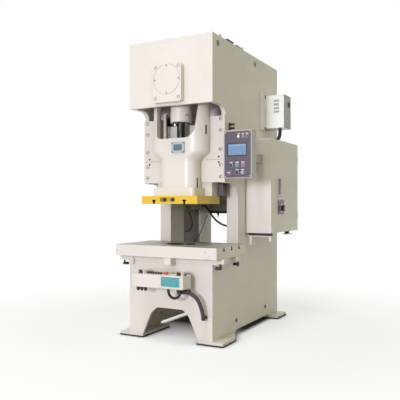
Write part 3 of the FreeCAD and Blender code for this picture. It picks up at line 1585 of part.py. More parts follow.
save("shaft_bushes", group([
    bush(0, web_front_y - side_gap, crank_z, front_journal_r, bush_wall),
    bush(mid_bush[0], mid_bush[1], crank_z, rear_journal_r, bush_wall),
    bush(gear_bush[0], gear_bush[1], crank_z, end_journal_r, bush_wall),
    bush(mid_bush[0], mid_bush[1], pinion_z, pinion_journal_r, bush_wall),
    bush(gear_bush[0], gear_bush[1], pinion_z, pinion_shaft_r, bush_wall),
    bush(frame_depth - wall_plate - boss_extra, frame_depth, pinion_z, pinion_shaft_r, bush_wall),
]))
save("connecting_rod", connecting_rod())
save("rod_cap", rod_cap())
save("adjusting_screw", group([adjusting_screw(), lock_knob()]))
save("flywheel", flywheel())
save("clutch_brake", clutch())
save("drive_belts", belts())
save("motor_rotor", fuse(motor_pulley(), motor_shaft()))
save("motor_body", motor())
save("belt_guard", belt_guard())
save("bearing_cover", bearing_cover())
save("lifting_eyes", lifting_eyes())
save("lube_block", lube_block())
save("console_box", console_box())
save("console_plate", console_plate())
save("console_switches", console_switches())
save("palm_button_right", palm_button())
save("palm_button_left", mirror_x(palm_button()))
save("stop_button", stop_button())
save("panel_box", panel_box())
save("panel_face", panel_face())
save("panel_screen", panel_screen())
for label, button_x in zip(("dark", "blue", "red"), push_x):
    save("panel_button_" + label, panel_button(button_x))
save("selector_knob", selector_knob())
save("key_switch", key_switch())
save("cabinet_body", cabinet_body())
save("cabinet_door", cabinet_door())
save("door_handle", door_handle())
save("main_switch_knob", main_switch_knob())
save("cabinet_mounts", cabinet_mounts())
save("drive_box", drive_box())
save("wiring_box", wiring_box())
save("cable_glands", cable_glands())
save("hoses", group([
    hose(air_route, air_hose_r),
    hose(loop_route, loop_hose_r),
    hose(drive_route, drive_hose_r),
    hose(throat_route, throat_hose_r),
]))
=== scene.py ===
"""The looks of a mechanical stamping press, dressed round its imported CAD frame.

Lengths are in millimetres, in the frame of the CAD model: X to the operator's right, Y towards
the back of the press, Z up from the floor. Materials, floor, lamps and camera work in metres.
"""

import math

import bmesh
import bpy
from mathutils import Matrix, Vector

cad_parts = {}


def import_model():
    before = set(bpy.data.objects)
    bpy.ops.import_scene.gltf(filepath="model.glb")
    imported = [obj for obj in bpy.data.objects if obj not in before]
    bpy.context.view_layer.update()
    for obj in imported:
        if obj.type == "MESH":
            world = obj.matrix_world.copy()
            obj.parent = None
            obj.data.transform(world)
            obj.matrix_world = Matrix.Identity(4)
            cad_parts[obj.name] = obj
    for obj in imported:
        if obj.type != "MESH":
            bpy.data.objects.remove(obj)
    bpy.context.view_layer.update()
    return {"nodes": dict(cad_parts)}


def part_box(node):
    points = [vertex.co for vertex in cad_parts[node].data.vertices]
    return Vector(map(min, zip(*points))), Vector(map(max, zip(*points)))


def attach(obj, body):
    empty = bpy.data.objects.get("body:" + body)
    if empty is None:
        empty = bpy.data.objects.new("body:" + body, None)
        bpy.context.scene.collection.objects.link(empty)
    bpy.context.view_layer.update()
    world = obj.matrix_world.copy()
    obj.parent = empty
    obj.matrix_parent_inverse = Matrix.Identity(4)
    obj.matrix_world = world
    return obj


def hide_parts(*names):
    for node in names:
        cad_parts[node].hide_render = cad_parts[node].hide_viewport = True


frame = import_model()

MM = 0.001

# ---------------------------------------------------------------- colours (linear)

CREAM = (0.80, 0.765, 0.735)
SHADED_CREAM = (0.52, 0.50, 0.40)
TAUPE = (0.25, 0.225, 0.18)
YELLOW = (0.80, 0.53, 0.045)
SHADED_YELLOW = (0.66, 0.42, 0.06)
RING_YELLOW = (0.78, 0.55, 0.03)
COUNTER_BLUE = (0.42, 0.52, 0.58)
DIGIT_BLUE = (0.34, 0.42, 0.50)
WINDOW_BLUE = (0.12, 0.17, 0.23)
SCREEN_BLUE = (0.17, 0.275, 0.46)
DIAMOND_BLUE = (0.02, 0.10, 0.14)
CYAN = (0.05, 0.42, 0.52)
TEAL = (0.10, 0.40, 0.44)
PINK_RED = (0.62, 0.11, 0.11)
PURPLE = (0.085, 0.070, 0.105)
VIOLET = (0.14, 0.12, 0.17)
LAVENDER = (0.50, 0.48, 0.49)
WHITE = (0.93, 0.94, 0.95)
PALE = (0.72, 0.72, 0.70)
PALE_TUBE = (0.80, 0.78, 0.72)
BOX_SIDE_SHADE = (0.33, 0.36, 0.34)
ROD_GREY = (0.20, 0.20, 0.20)
SWITCH_GREY = (0.10, 0.10, 0.11)
PLUG_GREY = (0.30, 0.29, 0.27)
LOUVRE_SLOT_SHADE = (0.10, 0.11, 0.14)
SHADOW = (0.03, 0.028, 0.026)
GAP_BROWN = (0.10, 0.085, 0.07)
BLACK = (0.014, 0.014, 0.016)
RUBBER = (0.02, 0.02, 0.021)
CONDUIT = (0.055, 0.052, 0.055)
HOSE_DUST = (0.11, 0.105, 0.095)
STEEL = (0.52, 0.51, 0.49)
TABLE_STEEL = (0.33, 0.325, 0.275)
GUIDE_STEEL = (0.13, 0.115, 0.12)
HANDLE_STEEL = (0.26, 0.26, 0.27)
KNOB_STEEL = (0.55, 0.53, 0.48)
SCREW_STEEL = (0.10, 0.10, 0.105)
DARK_STEEL = (0.06, 0.06, 0.065)
ZINC = (0.62, 0.62, 0.60)
IRON = (0.10, 0.10, 0.10)
BRONZE = (0.42, 0.26, 0.10)
LENS_WHITE = (0.85, 0.85, 0.82)
LENS_GREEN = (0.05, 0.20, 0.12)
LENS_RED = (0.30, 0.03, 0.06)


# ---------------------------------------------------------------- node materials

LOOKUP_SAMPLES = 4                      # of one bevel or openness lookup
CLOUD_SHARE = 0.55                      # of the clouds, the dust and painted shade in the corners, and the chips in the paint
CORNER_DUST_AND_SHADE_SHARE = 0.55
CHIP_SHARE = 0.45
DUST_AND_SHADE_TINT = (0.76, 0.74, 0.66)
GROUND_LINES = (3.0, 160.0, 3.0)        # stretches noise into the lines of a grinding wheel
TABLE_LINES = (1.0, 60.0, 1.0)
PLASTIC_EDGE = 0.001
BLEND = 0.002                           # where one finish meets another at a height


def darker(base, share):
    return tuple(c * share for c in base)


class Nodes:
    """A small builder for node trees."""

    def __init__(self, name):
        self.material = bpy.data.materials.new(name)
        self.material.use_nodes = True
        self.tree = self.material.node_tree
        self.tree.nodes.clear()
        self.shader = self.add("ShaderNodeBsdfPrincipled")
        self.out = self.add("ShaderNodeOutputMaterial")
        self.link(self.shader.outputs["BSDF"], self.out.inputs["Surface"])
        self.place = self.add("ShaderNodeTexCoord").outputs["Object"]

    def add(self, kind, **values):
        node = self.tree.nodes.new(kind)
        for key, value in values.items():
            setattr(node, key, value)
        return node

    def link(self, source, target):
        self.tree.links.new(source, target)

    def feed(self, socket, value):
        """Links a socket, or sets its number or colour."""
        if isinstance(value, bpy.types.NodeSocket):
            self.link(value, socket)
        elif isinstance(value, tuple) and len(value) == 3 and socket.type == "RGBA":
            socket.default_value = (*value, 1.0)
        else:
            socket.default_value = value

    def scaled(self, scale):
        """Object coordinates stretched by one factor along each axis."""
        node = self.add("ShaderNodeMapping")
        self.link(self.place, node.inputs["Vector"])
        node.inputs["Scale"].default_value = scale
        return node.outputs["Vector"]

    def noise(self, scale, detail=3.0, stretch=None):
        node = self.add("ShaderNodeTexNoise")
        self.link(self.scaled(stretch) if stretch else self.place, node.inputs["Vector"])
        node.inputs["Scale"].default_value = scale
        node.inputs["Detail"].default_value = detail
        return node.outputs["Fac"]

    def math(self, operation, a, b=0.0):
        node = self.add("ShaderNodeMath", operation=operation)
        self.feed(node.inputs[0], a)
        self.feed(node.inputs[1], b)
        return node.outputs[0]

    def times(self, a, b):
        return self.math("MULTIPLY", a, b)

    def squared(self, name, centre):
        """The square of a place's distance from a centre, along one axis."""
        return self.math("POWER", self.math("SUBTRACT", self.axis(name), centre), 2.0)

    def span(self, value, low, high, to_low=0.0, to_high=1.0):
        """Maps a value's range onto another, clamped."""
        node = self.add("ShaderNodeMapRange")
        for key, item in (("Value", value), ("From Min", low), ("From Max", high),
                          ("To Min", to_low), ("To Max", to_high)):
            self.feed(node.inputs[key], item)
        return node.outputs["Result"]

    def mix(self, factor, a, b):
        node = self.add("ShaderNodeMix", data_type="RGBA")
        self.feed(node.inputs[0], factor)
        self.feed(node.inputs[6], a)
        self.feed(node.inputs[7], b)
        return node.outputs[2]

    def axis(self, name, normal=False):
        """One coordinate of the place, or of the face's own normal."""
        node = self.add("ShaderNodeSeparateXYZ")
        source = self.add("ShaderNodeTexCoord").outputs["Normal"] if normal else self.place
        self.link(source, node.inputs[0])
        return node.outputs[name]

    def rounded(self, radius):
        node = self.add("ShaderNodeBevel")
        node.samples = LOOKUP_SAMPLES
        node.inputs["Radius"].default_value = radius
        return node.outputs["Normal"]

    def edges(self, radius):
        """1 along sharp edges, 0 on flat faces."""
        node = self.add("ShaderNodeVectorMath", operation="DOT_PRODUCT")
        self.link(self.rounded(radius), node.inputs[0])
        self.link(self.add("ShaderNodeNewGeometry").outputs["Normal"], node.inputs[1])
        return self.span(node.outputs["Value"], 0.985, 0.85)

    def openness(self, distance, samples=LOOKUP_SAMPLES):
        """1 in the open, 0 deep in a corner."""
        node = self.add("ShaderNodeAmbientOcclusion")
        node.samples = samples
        node.inputs["Distance"].default_value = distance
        return node.outputs["AO"]

    def bump(self, height, strength, distance, base=None):
        node = self.add("ShaderNodeBump")
        self.feed(node.inputs["Height"], height)
        node.inputs["Strength"].default_value = strength
        node.inputs["Distance"].default_value = distance
        if base is not None:
            self.link(base, node.inputs["Normal"])
        return node.outputs["Normal"]

    def finish(self, colour, roughness, normal=None, metallic=0.0, coat=0.0, specular=0.5):
        self.feed(self.shader.inputs["Base Color"], colour)
        self.feed(self.shader.inputs["Roughness"], roughness)
        self.shader.inputs["Metallic"].default_value = metallic
        self.shader.inputs["Coat Weight"].default_value = coat
        self.shader.inputs["Coat Roughness"].default_value = 0.12
        self.shader.inputs["Specular IOR Level"].default_value = specular
        if normal is not None:
            self.link(normal, self.shader.inputs["Normal"])
        return self.material

    def glow(self, colour, strength):
        self.shader.inputs["Emission Color"].default_value = (*colour, 1.0)
        self.shader.inputs["Emission Strength"].default_value = strength


def enamel_colour(n, base, edge_radius):
    """Machine enamel: faint clouds, dust and painted shade in the corners, thin paint on the edges.
    """
    clouds = n.span(n.noise(2.2, 4.0), 0.35, 0.7)
    colour = n.mix(n.times(clouds, CLOUD_SHARE), base, darker(base, 0.90))
    # darker and dust-tinted where a place is closed in: dust and painted shade in the corners
    corner = n.math("SUBTRACT", 1.0, n.span(n.openness(0.09), 0.45, 0.95))
    dust = tuple(c * tint for c, tint in zip(base, DUST_AND_SHADE_TINT))
    colour = n.mix(n.times(corner, CORNER_DUST_AND_SHADE_SHARE), colour, dust)
    chips = n.span(n.noise(55.0, 5.0), 0.52, 0.62)
    worn = n.times(n.edges(edge_radius), n.times(chips, CHIP_SHARE))
    return n.mix(worn, colour, darker(base, 0.55))


def enamel(name, base, roughness=0.36, edge_radius=0.004, colour=None):
    """Sprayed enamel with orange peel under a thin gloss."""
    n = Nodes(name)
    tone = enamel_colour(n, base, edge_radius)
    if colour is not None:
        tone = colour(n, tone)
    rough = n.span(n.noise(7.0), 0.3, 0.7, roughness - 0.06, roughness + 0.10)
    peel = n.bump(n.noise(160.0, 2.0), 0.07, 0.0006, n.rounded(edge_radius))
    return n.finish(tone, rough, peel, coat=0.12)


def machined(name, base, roughness=0.34, colour=None):
    """Bare ground or turned steel with fine lines and a film of oil."""
    n = Nodes(name)
    lines = n.noise(6.0, 4.0, GROUND_LINES)
    stain = n.span(n.noise(4.0, 5.0), 0.4, 0.75)
    tone = n.mix(n.times(stain, 0.5), base, darker(base, 0.62))
    bright = tuple(min(1, c * 1.5) for c in base)
    tone = n.mix(n.times(n.edges(0.002), 0.6), tone, bright)
    if colour is not None:
        tone = colour(n, tone)
    rough = n.span(lines, 0.3, 0.7, roughness - 0.08, roughness + 0.12)
    return n.finish(tone, rough, n.bump(lines, 0.10, 0.0004, n.rounded(0.002)), metallic=1.0)


def cast(name, base):
    """Cast iron with sand grain."""
    n = Nodes(name)
    grain = n.noise(220.0, 4.0)
    tone = n.mix(n.span(n.noise(9.0, 4.0), 0.35, 0.7), base, darker(base, 0.6))
    return n.finish(tone, 0.6, n.bump(grain, 0.35, 0.0012, n.rounded(0.003)), metallic=0.6)


def moulded(name, base, roughness=0.42, gloss=0.0):
    """Moulded plastic with a fine texture."""
    n = Nodes(name)
    tone = n.mix(n.span(n.noise(30.0), 0.35, 0.7), base, darker(base, 0.82))
    bright = tuple(min(1, c * 1.6 + 0.02) for c in base)
    tone = n.mix(n.times(n.edges(PLASTIC_EDGE), 0.35), tone, bright)
    rough = n.span(n.noise(60.0, 2.0), 0.3, 0.7, roughness - 0.05, roughness + 0.08)
    grain = n.bump(n.noise(700.0, 2.0), 0.12, 0.0003, n.rounded(PLASTIC_EDGE))
    return n.finish(tone, rough, grain, coat=gloss)


def rubber(name, base):
    """Hose cover with a faint cloth pattern and dust."""
    n = Nodes(name)
    dust = n.span(n.noise(14.0, 5.0), 0.5, 0.8)
    tone = n.mix(n.times(dust, 0.35), base, HOSE_DUST)
    weave = n.noise(520.0, 1.0)
    return n.finish(tone, 0.55, n.bump(weave, 0.25, 0.0005), specular=0.35)


def past(limit, colour, axis="Z"):
    """A second colour past a place on an axis, for a piece that has two finishes."""
    def paint(n, tone):
        return n.mix(n.span(n.axis(axis), limit - BLEND, limit + BLEND), tone, colour)
    return paint


def inside(n, low, high):
    """1 inside a box of the part's own space, 0 outside it."""
    mask = 1.0
    for name, start, end in zip("XYZ", low, high):
        if start is not None:
            mask = n.times(n.math("GREATER_THAN", n.axis(name), start), mask)
        if end is not None:
            mask = n.times(n.math("LESS_THAN", n.axis(name), end), mask)
    return mask


def patches(*areas):
    """Areas of a piece with a colour of their own: (colour, low, high), None for no limit."""
    def paint(n, tone):
        for colour, low, high in areas:
            tone = n.mix(inside(n, low, high), tone, colour)
        return tone
    return paint


# The bolster's hole and slots
HOLE_Y = 0.228
HOLE_RADIUS = 0.1608
SLOTS_Y = (0.051, 0.227, 0.403)
SLOT_END = 0.5735
SLOT_HALF = 0.0195
SLOT_LOW = 0.9055
SLOT_HIGH = 0.9465


def bolster_tones(n, tone):
    """Ground steel where it looks up, painted shade in the hole and slots, paint on the rest."""
    up = n.span(n.axis("Z", normal=True), 0.9, 0.97)
    streak = n.noise(5.0, 4.0, TABLE_LINES)
    ground = n.mix(n.span(streak, 0.35, 0.65), TABLE_STEEL, darker(TABLE_STEEL, 0.82))
    across = n.math("POWER", n.axis("X"), 2.0)
    away = n.math("ADD", across, n.squared("Y", HOLE_Y))
    hole = n.math("LESS_THAN", away, HOLE_RADIUS ** 2)
    tone = n.mix(hole, n.mix(up, tone, ground), SHADOW)
    slots = [(SHADOW, (-SLOT_END, y - SLOT_HALF, SLOT_LOW), (SLOT_END, y + SLOT_HALF, SLOT_HIGH))
             for y in SLOTS_Y]
    return patches(*slots)(n, tone)


def lens(name, base, glow):
    """A coloured lamp lens."""
    n = Nodes(name)
    ribs = n.noise(300.0, 1.0)
    tone = n.mix(n.span(ribs, 0.4, 0.6), base, darker(base, 0.85))
    n.glow(base, glow)
    return n.finish(tone, 0.18, n.bump(ribs, 0.15, 0.0003), coat=0.6)


def stripes(n, axis, per_metre, gap):
    """1 on stripes across an axis, 0 in the gaps between them."""
    return n.math("GREATER_THAN", n.math("FRACT", n.times(n.axis(axis), per_metre)), gap)


def display(name):
    """The operator's screen: a pale menu of bars and blocks, with no words."""
    n = Nodes(name)
    cells = n.times(stripes(n, "Z", 46.0, 0.30), stripes(n, "X", 21.0, 0.12))
    head = n.math("GREATER_THAN", n.axis("Z"), 1.926)
    tone = n.mix(cells, darker(SCREEN_BLUE, 0.8), SCREEN_BLUE)
    tone = n.mix(head, tone, tuple(c * 1.25 for c in SCREEN_BLUE))
    n.glow(SCREEN_BLUE, 0.12)
    return n.finish(tone, 0.12, n.bump(n.noise(900.0, 1.0), 0.02, 0.0002), coat=0.8)


cream = enamel("cream_enamel", CREAM)
cream_fine = enamel("cream_enamel_fine", CREAM, 0.32, 0.002)
# The cream paint darkened and tinted olive as it looks in shade: painted shade on the rear plate,
# belt guard, motor body and wiring box.
shaded_cream_paint = enamel("shaded_cream_enamel", SHADED_CREAM, 0.45)
taupe = enamel("taupe_enamel", TAUPE, 0.5)
# The drive box: grey-green painted shade on its side face, slate painted shade inside the louvre
# slots, and black past the side face.
box_white = enamel("box_enamel", WHITE, 0.30, 0.0025, patches(
    (BOX_SIDE_SHADE, (0.7165, 1.3445, None), (0.7195, None, None)),
    (BLACK, (0.7195, None, None), (None, None, None)),
    (LOUVRE_SLOT_SHADE, (0.5935, 1.3446, 2.400), (0.6605, 1.352, 2.570))))
bolster_paint = enamel("bolster_enamel", CREAM, 0.38, 0.005, bolster_tones)
# The tool plate: dull yellow painted shade on its rear part behind the guides, and painted shadow
# in its two T-slots.
slide_plate_paint = enamel("slide_plate_enamel", YELLOW, 0.34, 0.003, patches(
    (SHADED_YELLOW, (None, 0.248, None), (None, None, None)),
    (SHADOW, (-0.1945, -0.0130, 1.3615), (-0.1555, None, 1.4025)),
    (SHADOW, (0.1555, -0.0130, 1.3615), (0.1945, None, 1.4025))))
side_paint = enamel("side_enamel", CREAM, 0.40)
slide_paint = enamel("slide_enamel", CREAM, 0.34, colour=patches(
    (COUNTER_BLUE, (-0.033, None, 1.872), (0.120, 0.0972, 1.984)),
    (SHADOW, (0.300, 0.187, 2.058), (0.3155, 0.207, 2.150)),
    (SHADOW, (0.195, 0.185, 1.510), (0.2095, 0.203, 1.622))))
screw_paint = enamel("screw_enamel", CREAM, 0.40, 0.002, patches(
    (DARK_STEEL, (0.3995, 0.2, None), (0.4245, None, None)),
    (DARK_STEEL, (-0.4245, 0.2, None), (-0.3995, None, None))))
mount_paint = enamel("mount_enamel", CREAM, 0.38, 0.002, patches(
    (BLACK, (0.485, None, 1.0225), (None, 0.860, 1.0478))))
door_paint = enamel("door_enamel", CREAM, 0.34, 0.003, patches(
    (SWITCH_GREY, (0.7702, 1.004, 1.247), (None, 1.177, 1.404))))
console_paint = enamel("console_enamel", CREAM, 0.32, 0.002, past(-0.0795, DARK_STEEL, "Y"))
rod_paint = enamel("rod_enamel", CREAM, 0.36, 0.003, past(2.462, ROD_GREY))
steel = machined("machined_steel", STEEL)
plate_steel = machined("ground_plate", GUIDE_STEEL, 0.4)
polished = machined("polished_screw", SCREW_STEEL, 0.20)
screw_and_knob = machined("adjusting_screw_steel", SCREW_STEEL, 0.20, patches(
    (KNOB_STEEL, (None, None, 2.10), (-0.0405, 0.2295, None))))
handle_grey = machined("handle_steel", HANDLE_STEEL, 0.35)
dark = machined("dark_steel", DARK_STEEL, 0.42)
iron = cast("cast_iron", IRON)
bronze = machined("bearing_bronze", BRONZE, 0.38)
hose_rubber = rubber("hose_rubber", RUBBER)
black = moulded("black_plastic", BLACK)
purple = moulded("panel_face_plastic", PURPLE, 0.36, 0.2)
lavender = enamel("panel_enamel", LAVENDER, 0.34, 0.0025)
teal = moulded("teal_plate_finish", TEAL, 0.36, 0.2)
pink = moulded("red_button", PINK_RED, 0.30, 0.5)
blue = moulded("blue_button", CYAN, 0.30, 0.5)
pale = moulded("pale_label", PALE, 0.40)
zinc = machined("zinc", ZINC, 0.30)
screen = display("screen_display")
white_lens = lens("white_lens", LENS_WHITE, 0.35)
green_lens = lens("green_lens", LENS_GREEN, 0.0)
red_lens = lens("red_lens", LENS_RED, 0.0)

FINISHES = {
    cream: "frame_side_left throat_posts feet crown_front_plate crown_top_plate "
           "crown_bearing_walls base_front_plate base_rear_plate bed_plate bearing_cover "
           "gib_plates cabinet_body clamp_blocks",
    slide_paint: "slide_casting",
    screw_paint: "socket_screws",
    door_paint: "cabinet_door",
    mount_paint: "cabinet_mounts",
    box_white: "drive_box",
    shaded_cream_paint: "rear_plate belt_guard motor_body wiring_box",
    bolster_paint: "bolster",
    slide_plate_paint: "slide_tool_plate",
    console_paint: "console_box",
    rod_paint: "connecting_rod",
    plate_steel: "slide_guides height_adjust_drive",
    polished: "shank_clamp_screws",
    screw_and_knob: "adjusting_screw",
    handle_grey: "door_handle",
    side_paint: "frame_side_right",
    steel: "crankshaft pinion_shaft rod_cap",
    dark: "lube_block",
    zinc: "lifting_eyes key_switch",
    iron: "main_gear flywheel clutch_brake motor_rotor",
    bronze: "shaft_bushes",
    hose_rubber: "drive_belts hoses levelling_pads",
    black: "console_switches cable_glands selector_knob main_switch_knob panel_button_dark "
           "palm_button_left palm_button_right",
    teal: "console_plate",
    purple: "panel_face",
    lavender: "panel_box",
    screen: "panel_screen",
    pink: "panel_button_red stop_button",
    blue: "panel_button_blue",
}
for finish, names in FINISHES.items():
    for name in names.split():
        mesh = frame["nodes"][name].data
        mesh.materials.clear()
        mesh.materials.append(finish)


# ---------------------------------------------------------------- mesh pieces

RING_SIDES = 40
RING_LIP = 0.8
SMOOTH = 35.0                           # degrees under which a surface is shaded smooth


def piece(name, bm, finish, body="frame", bevel=0.0, smooth=SMOOTH):
    """Turns a bmesh in millimetres into a piece that rides on a body."""
    bmesh.ops.transform(bm, matrix=Matrix.Scale(MM, 4), verts=bm.verts)
    bmesh.ops.recalc_face_normals(bm, faces=bm.faces)
    mesh = bpy.data.meshes.new(name)
    bm.to_mesh(mesh)
    bm.free()
    mesh.polygons.foreach_set("use_smooth", [True] * len(mesh.polygons))
    mesh.set_sharp_from_angle(angle=math.radians(smooth))
    mesh.materials.append(finish)
    made = bpy.data.objects.new(name, mesh)
    bpy.context.scene.collection.objects.link(made)
    if bevel:
        rounding = made.modifiers.new("rounding", "BEVEL")
        rounding.width = bevel * MM
        rounding.segments = 2
        rounding.limit_method = "ANGLE"
        rounding.angle_limit = math.radians(smooth)
    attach(made, body)
    return made


def at(centre, axis):
    """The place of something that stands on a point and points along an axis such as -Y."""
    direction = Vector([1.0 if letter == axis[1] else 0.0 for letter in "XYZ"])
    if axis[0] == "-":
        direction = -direction
    return Matrix.Translation(centre) @ direction.to_track_quat("Z", "Y").to_matrix().to_4x4()


def circle(radius, sides):
    """Points round a circle, as pairs."""
    turns = [2 * math.pi * i / sides for i in range(sides)]
    return [(radius * math.cos(turn), radius * math.sin(turn)) for turn in turns]


def skin(bm, sections):
    """Faces from each section to the next, with a cap on both ends."""
    before = None
    for section in sections:
        ring = [bm.verts.new(place) for place in section]
        if before:
            for k in range(len(ring)):
                m = (k + 1) % len(ring)
                bm.faces.new((before[k], before[m], ring[m], ring[k]))
        else:
            bm.faces.new(list(reversed(ring)))
        before = ring
    bm.faces.new(before)


def add_turned(bm, place, profile, sides=32):
    """A solid of revolution: (radius, height) pairs along its own Z."""
    skin(bm, [[place @ Vector((x, y, height)) for x, y in circle(radius, sides)]
              for radius, height in profile])


def add_ring(bm, place, inner, outer, height):
    """A flat ring with softened edges."""
    section = [(inner, 0), (outer, 0), (outer, height - RING_LIP), (outer - RING_LIP, height),
               (inner + RING_LIP, height), (inner, height - RING_LIP)]
    sections = [[bm.verts.new(place @ Vector((r * x, r * y, h))) for r, h in section]
                for x, y in circle(1.0, RING_SIDES)]
    for here, following in zip(sections, sections[1:] + sections[:1]):
        for k in range(len(section)):
            m = (k + 1) % len(section)
            bm.faces.new((here[k], following[k], following[m], here[m]))


def blocks(name, boxes, finish, body="frame", bevel=1.0):
    """Boxes from a low corner to a high one, with rounded edges."""
    bm = bmesh.new()
    for low, high in boxes:
        low, high = Vector(low), Vector(high)
        place = Matrix.Translation((low + high) / 2) @ Matrix.Diagonal((*(high - low), 1.0))
        bmesh.ops.create_cube(bm, size=1.0, matrix=place)
    return piece(name, bm, finish, body, bevel)


def border(low, high, post, rail):
    """Boxes round an upright rectangle: two rails and two posts of the widths given."""
    (x0, y0, z0), (x1, y1, z1) = low, high
    bars = [(low, (x1, y1, z0 + rail)), ((x0, y0, z1 - rail), high)]
    if x1 - x0 > y1 - y0:
        bars += [((x0, y0, z0 + rail), (x0 + post, y1, z1 - rail)),
                 ((x1 - post, y0, z0 + rail), (x1, y1, z1 - rail))]
    else:
        bars += [((x0, y0, z0 + rail), (x1, y0 + post, z1 - rail)),
                 ((x0, y1 - post, z0 + rail), (x1, y1, z1 - rail))]
    return bars


def turned(name, centres, axis, profile, finish, body="frame", sides=32, smooth=SMOOTH):
    """One solid of revolution on each centre."""
    bm = bmesh.new()
    for centre in centres:
        add_turned(bm, at(centre, axis), profile, sides)
    return piece(name, bm, finish, body, smooth=smooth)


def rings(name, centres, axis, inner, outer, height, finish, body="frame"):
    """One flat ring on each centre."""
    bm = bmesh.new()
    for centre in centres:
        add_ring(bm, at(centre, axis), inner, outer, height)
    return piece(name, bm, finish, body)


def screws(name, centres, axis, radius, finish=zinc, body="frame"):
    """Domed heads with a hexagon socket."""
    bm = bmesh.new()
    dome = [(radius, 0), (radius, radius * 0.35), (radius * 0.82, radius * 0.62),
            (radius * 0.5, radius * 0.72)]
    for centre in centres:
        place = at(centre, axis)
        add_turned(bm, place, dome, 24)
        add_turned(bm, place @ Matrix.Translation((0, 0, radius * 0.72)),
                   [(radius * 0.42, 0), (radius * 0.40, 0.15)], 6)
    return piece(name, bm, finish, body)


def hexagons(name, centres, axis, across, height):
    """Hexagon heads on washers."""
    washer = 1.6
    head = [(across * 0.577, 0), (across * 0.577, height * 0.85), (across * 0.50, height)]
    bm = bmesh.new()
    for centre in centres:
        place = at(centre, axis)
        add_turned(bm, place, [(across * 0.72, 0), (across * 0.72, washer)], 28)
        add_turned(bm, place @ Matrix.Translation((0, 0, washer)), head, 6)
    return piece(name, bm, zinc)


def weld(name, runs):
    """Rippled fillet beads along straight edges."""
    size = 5.0
    bm = bmesh.new()
    for start, end in runs:
        start, end = Vector(start), Vector(end)
        along = (end - start).normalized()
        side = along.orthogonal().normalized()
        up = along.cross(side)
        count = max(4, int((end - start).length / (size * 0.9)))
        sections = []
        for i in range(count + 1):
            radius = size * (0.86 + 0.14 * math.sin(i * 2.4)) * (0.35 if i in (0, count) else 1.0)
            middle = start.lerp(end, i / count)
            sections.append([middle + side * a + up * b for a, b in circle(radius, 8)])
        skin(bm, sections)
    return piece(name, bm, cream, smooth=80.0)


def thread(name, centre, length, radius, pitch, depth, finish, body):
    """A helical ridge wound round a shaft, up from a centre."""
    sides = 36
    x, y, bottom = centre
    count = int(length / pitch * sides)
    sections = []
    for i in range(count + 1):
        turn = 2 * math.pi * i / sides
        crest = radius + depth * min(1.0, i / sides, (count - i) / sides)
        z = bottom + pitch * i / sides
        sections.append([(x + r * math.cos(turn), y + r * math.sin(turn), z + pitch * rise)
                         for r, rise in ((radius - 0.5, -0.42), (crest, -0.10), (crest, 0.10),
                                         (radius - 0.5, 0.42))])
    bm = bmesh.new()
    skin(bm, sections)
    return piece(name, bm, finish, body, smooth=50.0)


# Welds where the plates of the frame meet
HALF = 478.0
DEPTH = 1770.0
welds = []
for side in (-1, 1):
    welds += [((side * (HALF + 1), 2, 39), (side * (HALF + 1), 505, 39)),
              ((side * (HALF + 1), 1485, 39), (side * (HALF + 1), 1765, 39)),
              ((side * 348, 604, 838), (side * 348, 604, 1560)),
              ((side * 433, 899, 838), (side * 433, 899, 1560))]
weld("frame_welds", welds)
weld("bed_welds", [((-430, 31, 776), (430, 31, 776)), ((-HALF, 32, 776), (-HALF, 560, 776)),
                   ((HALF, 32, 776), (HALF, 560, 776))])

# Bearing cover: small screws in the cap
COVER_FACE = -60.0
CRANK_Z = 2590.0
CAP_SCREWS = ((0, 136), (0, -136), (136, 0), (-136, 0))
screws("cap_screws", [(x, COVER_FACE, CRANK_Z + z) for x, z in CAP_SCREWS], "-Y", 6.0, dark)

# Die-height counter on the slide: screws, wheels, window and its frame
screws("counter_screws", [(x, 86.0, z) for x in (-21, 108) for z in (1884, 1972)], "-Y", 6.5,
       dark, "slide")
blocks("counter_wheels", [((x, 88.5, 1902), (x + 21, 91.8, 1954)) for x in (-4, 20.5, 45, 69.5)],
       moulded("counter_digits", DIGIT_BLUE, 0.35, 0.3), "slide", 1.5)
blocks("counter_back", [((-6, 87.0, 1897), (93, 91.5, 1959))],
       moulded("counter_window", WINDOW_BLUE, 0.2, 0.4), "slide", 0.3)
blocks("counter_frame", border((-9, 84.5, 1894), (96, 86, 1962), 3, 3), zinc, "slide", 0.5)

# Thread on the adjusting screw
ROD_Y = 229.0
thread("screw_thread", (0, ROD_Y, 2036), 152, 40.0, 9.0, 2.6, dark, "rod")

# Operator's panel: lamps, bezels, bare plates where the labels were, and the arm's flange
PANEL_FACE = 233.5
LAMPS = {"white": (646, white_lens), "green": (692, green_lens), "red": (735, red_lens)}
LAMPS_X = [x for x, _ in LAMPS.values()]
LAMP_Z = 2020
LENS_PROFILE = [(11.6, 0), (11.6, 3.5), (9.8, 5.6), (6.0, 6.8), (2.0, 7.2)]
BUTTONS_X = (566, 630, 692)
SWITCHES_X = (628, 688)
PLATE = 0.8
PLATE_ROWS = ((LAMPS_X, 15, 2042, 2051), (BUTTONS_X, 17, 1764, 1774), (SWITCHES_X, 17, 1692, 1701))
rings("lamp_bezels", [(x, PANEL_FACE, LAMP_Z) for x in LAMPS_X], "-Y", 12.2, 16.0, 5.0, zinc)
for label, (x, glass) in LAMPS.items():
    turned("lamp_lens_" + label, [(x, PANEL_FACE - 7, LAMP_Z)], "-Y", LENS_PROFILE, glass)
rings("button_bezels", [(x, PANEL_FACE, 1739) for x in BUTTONS_X], "-Y", 15.0, 19.0, 3.6, zinc)
rings("switch_bezels", [(x, PANEL_FACE, 1667) for x in SWITCHES_X], "-Y", 16.2, 19.5, 2.4, zinc)
blocks("screen_bezel", border((524, PANEL_FACE - 3, 1830), (733, PANEL_FACE, 1957), 8, 9), black,
       bevel=1.2)
plates = [((x - half, PANEL_FACE - PLATE, low), (x + half, PANEL_FACE, high))
          for across, half, low, high in PLATE_ROWS for x in across]
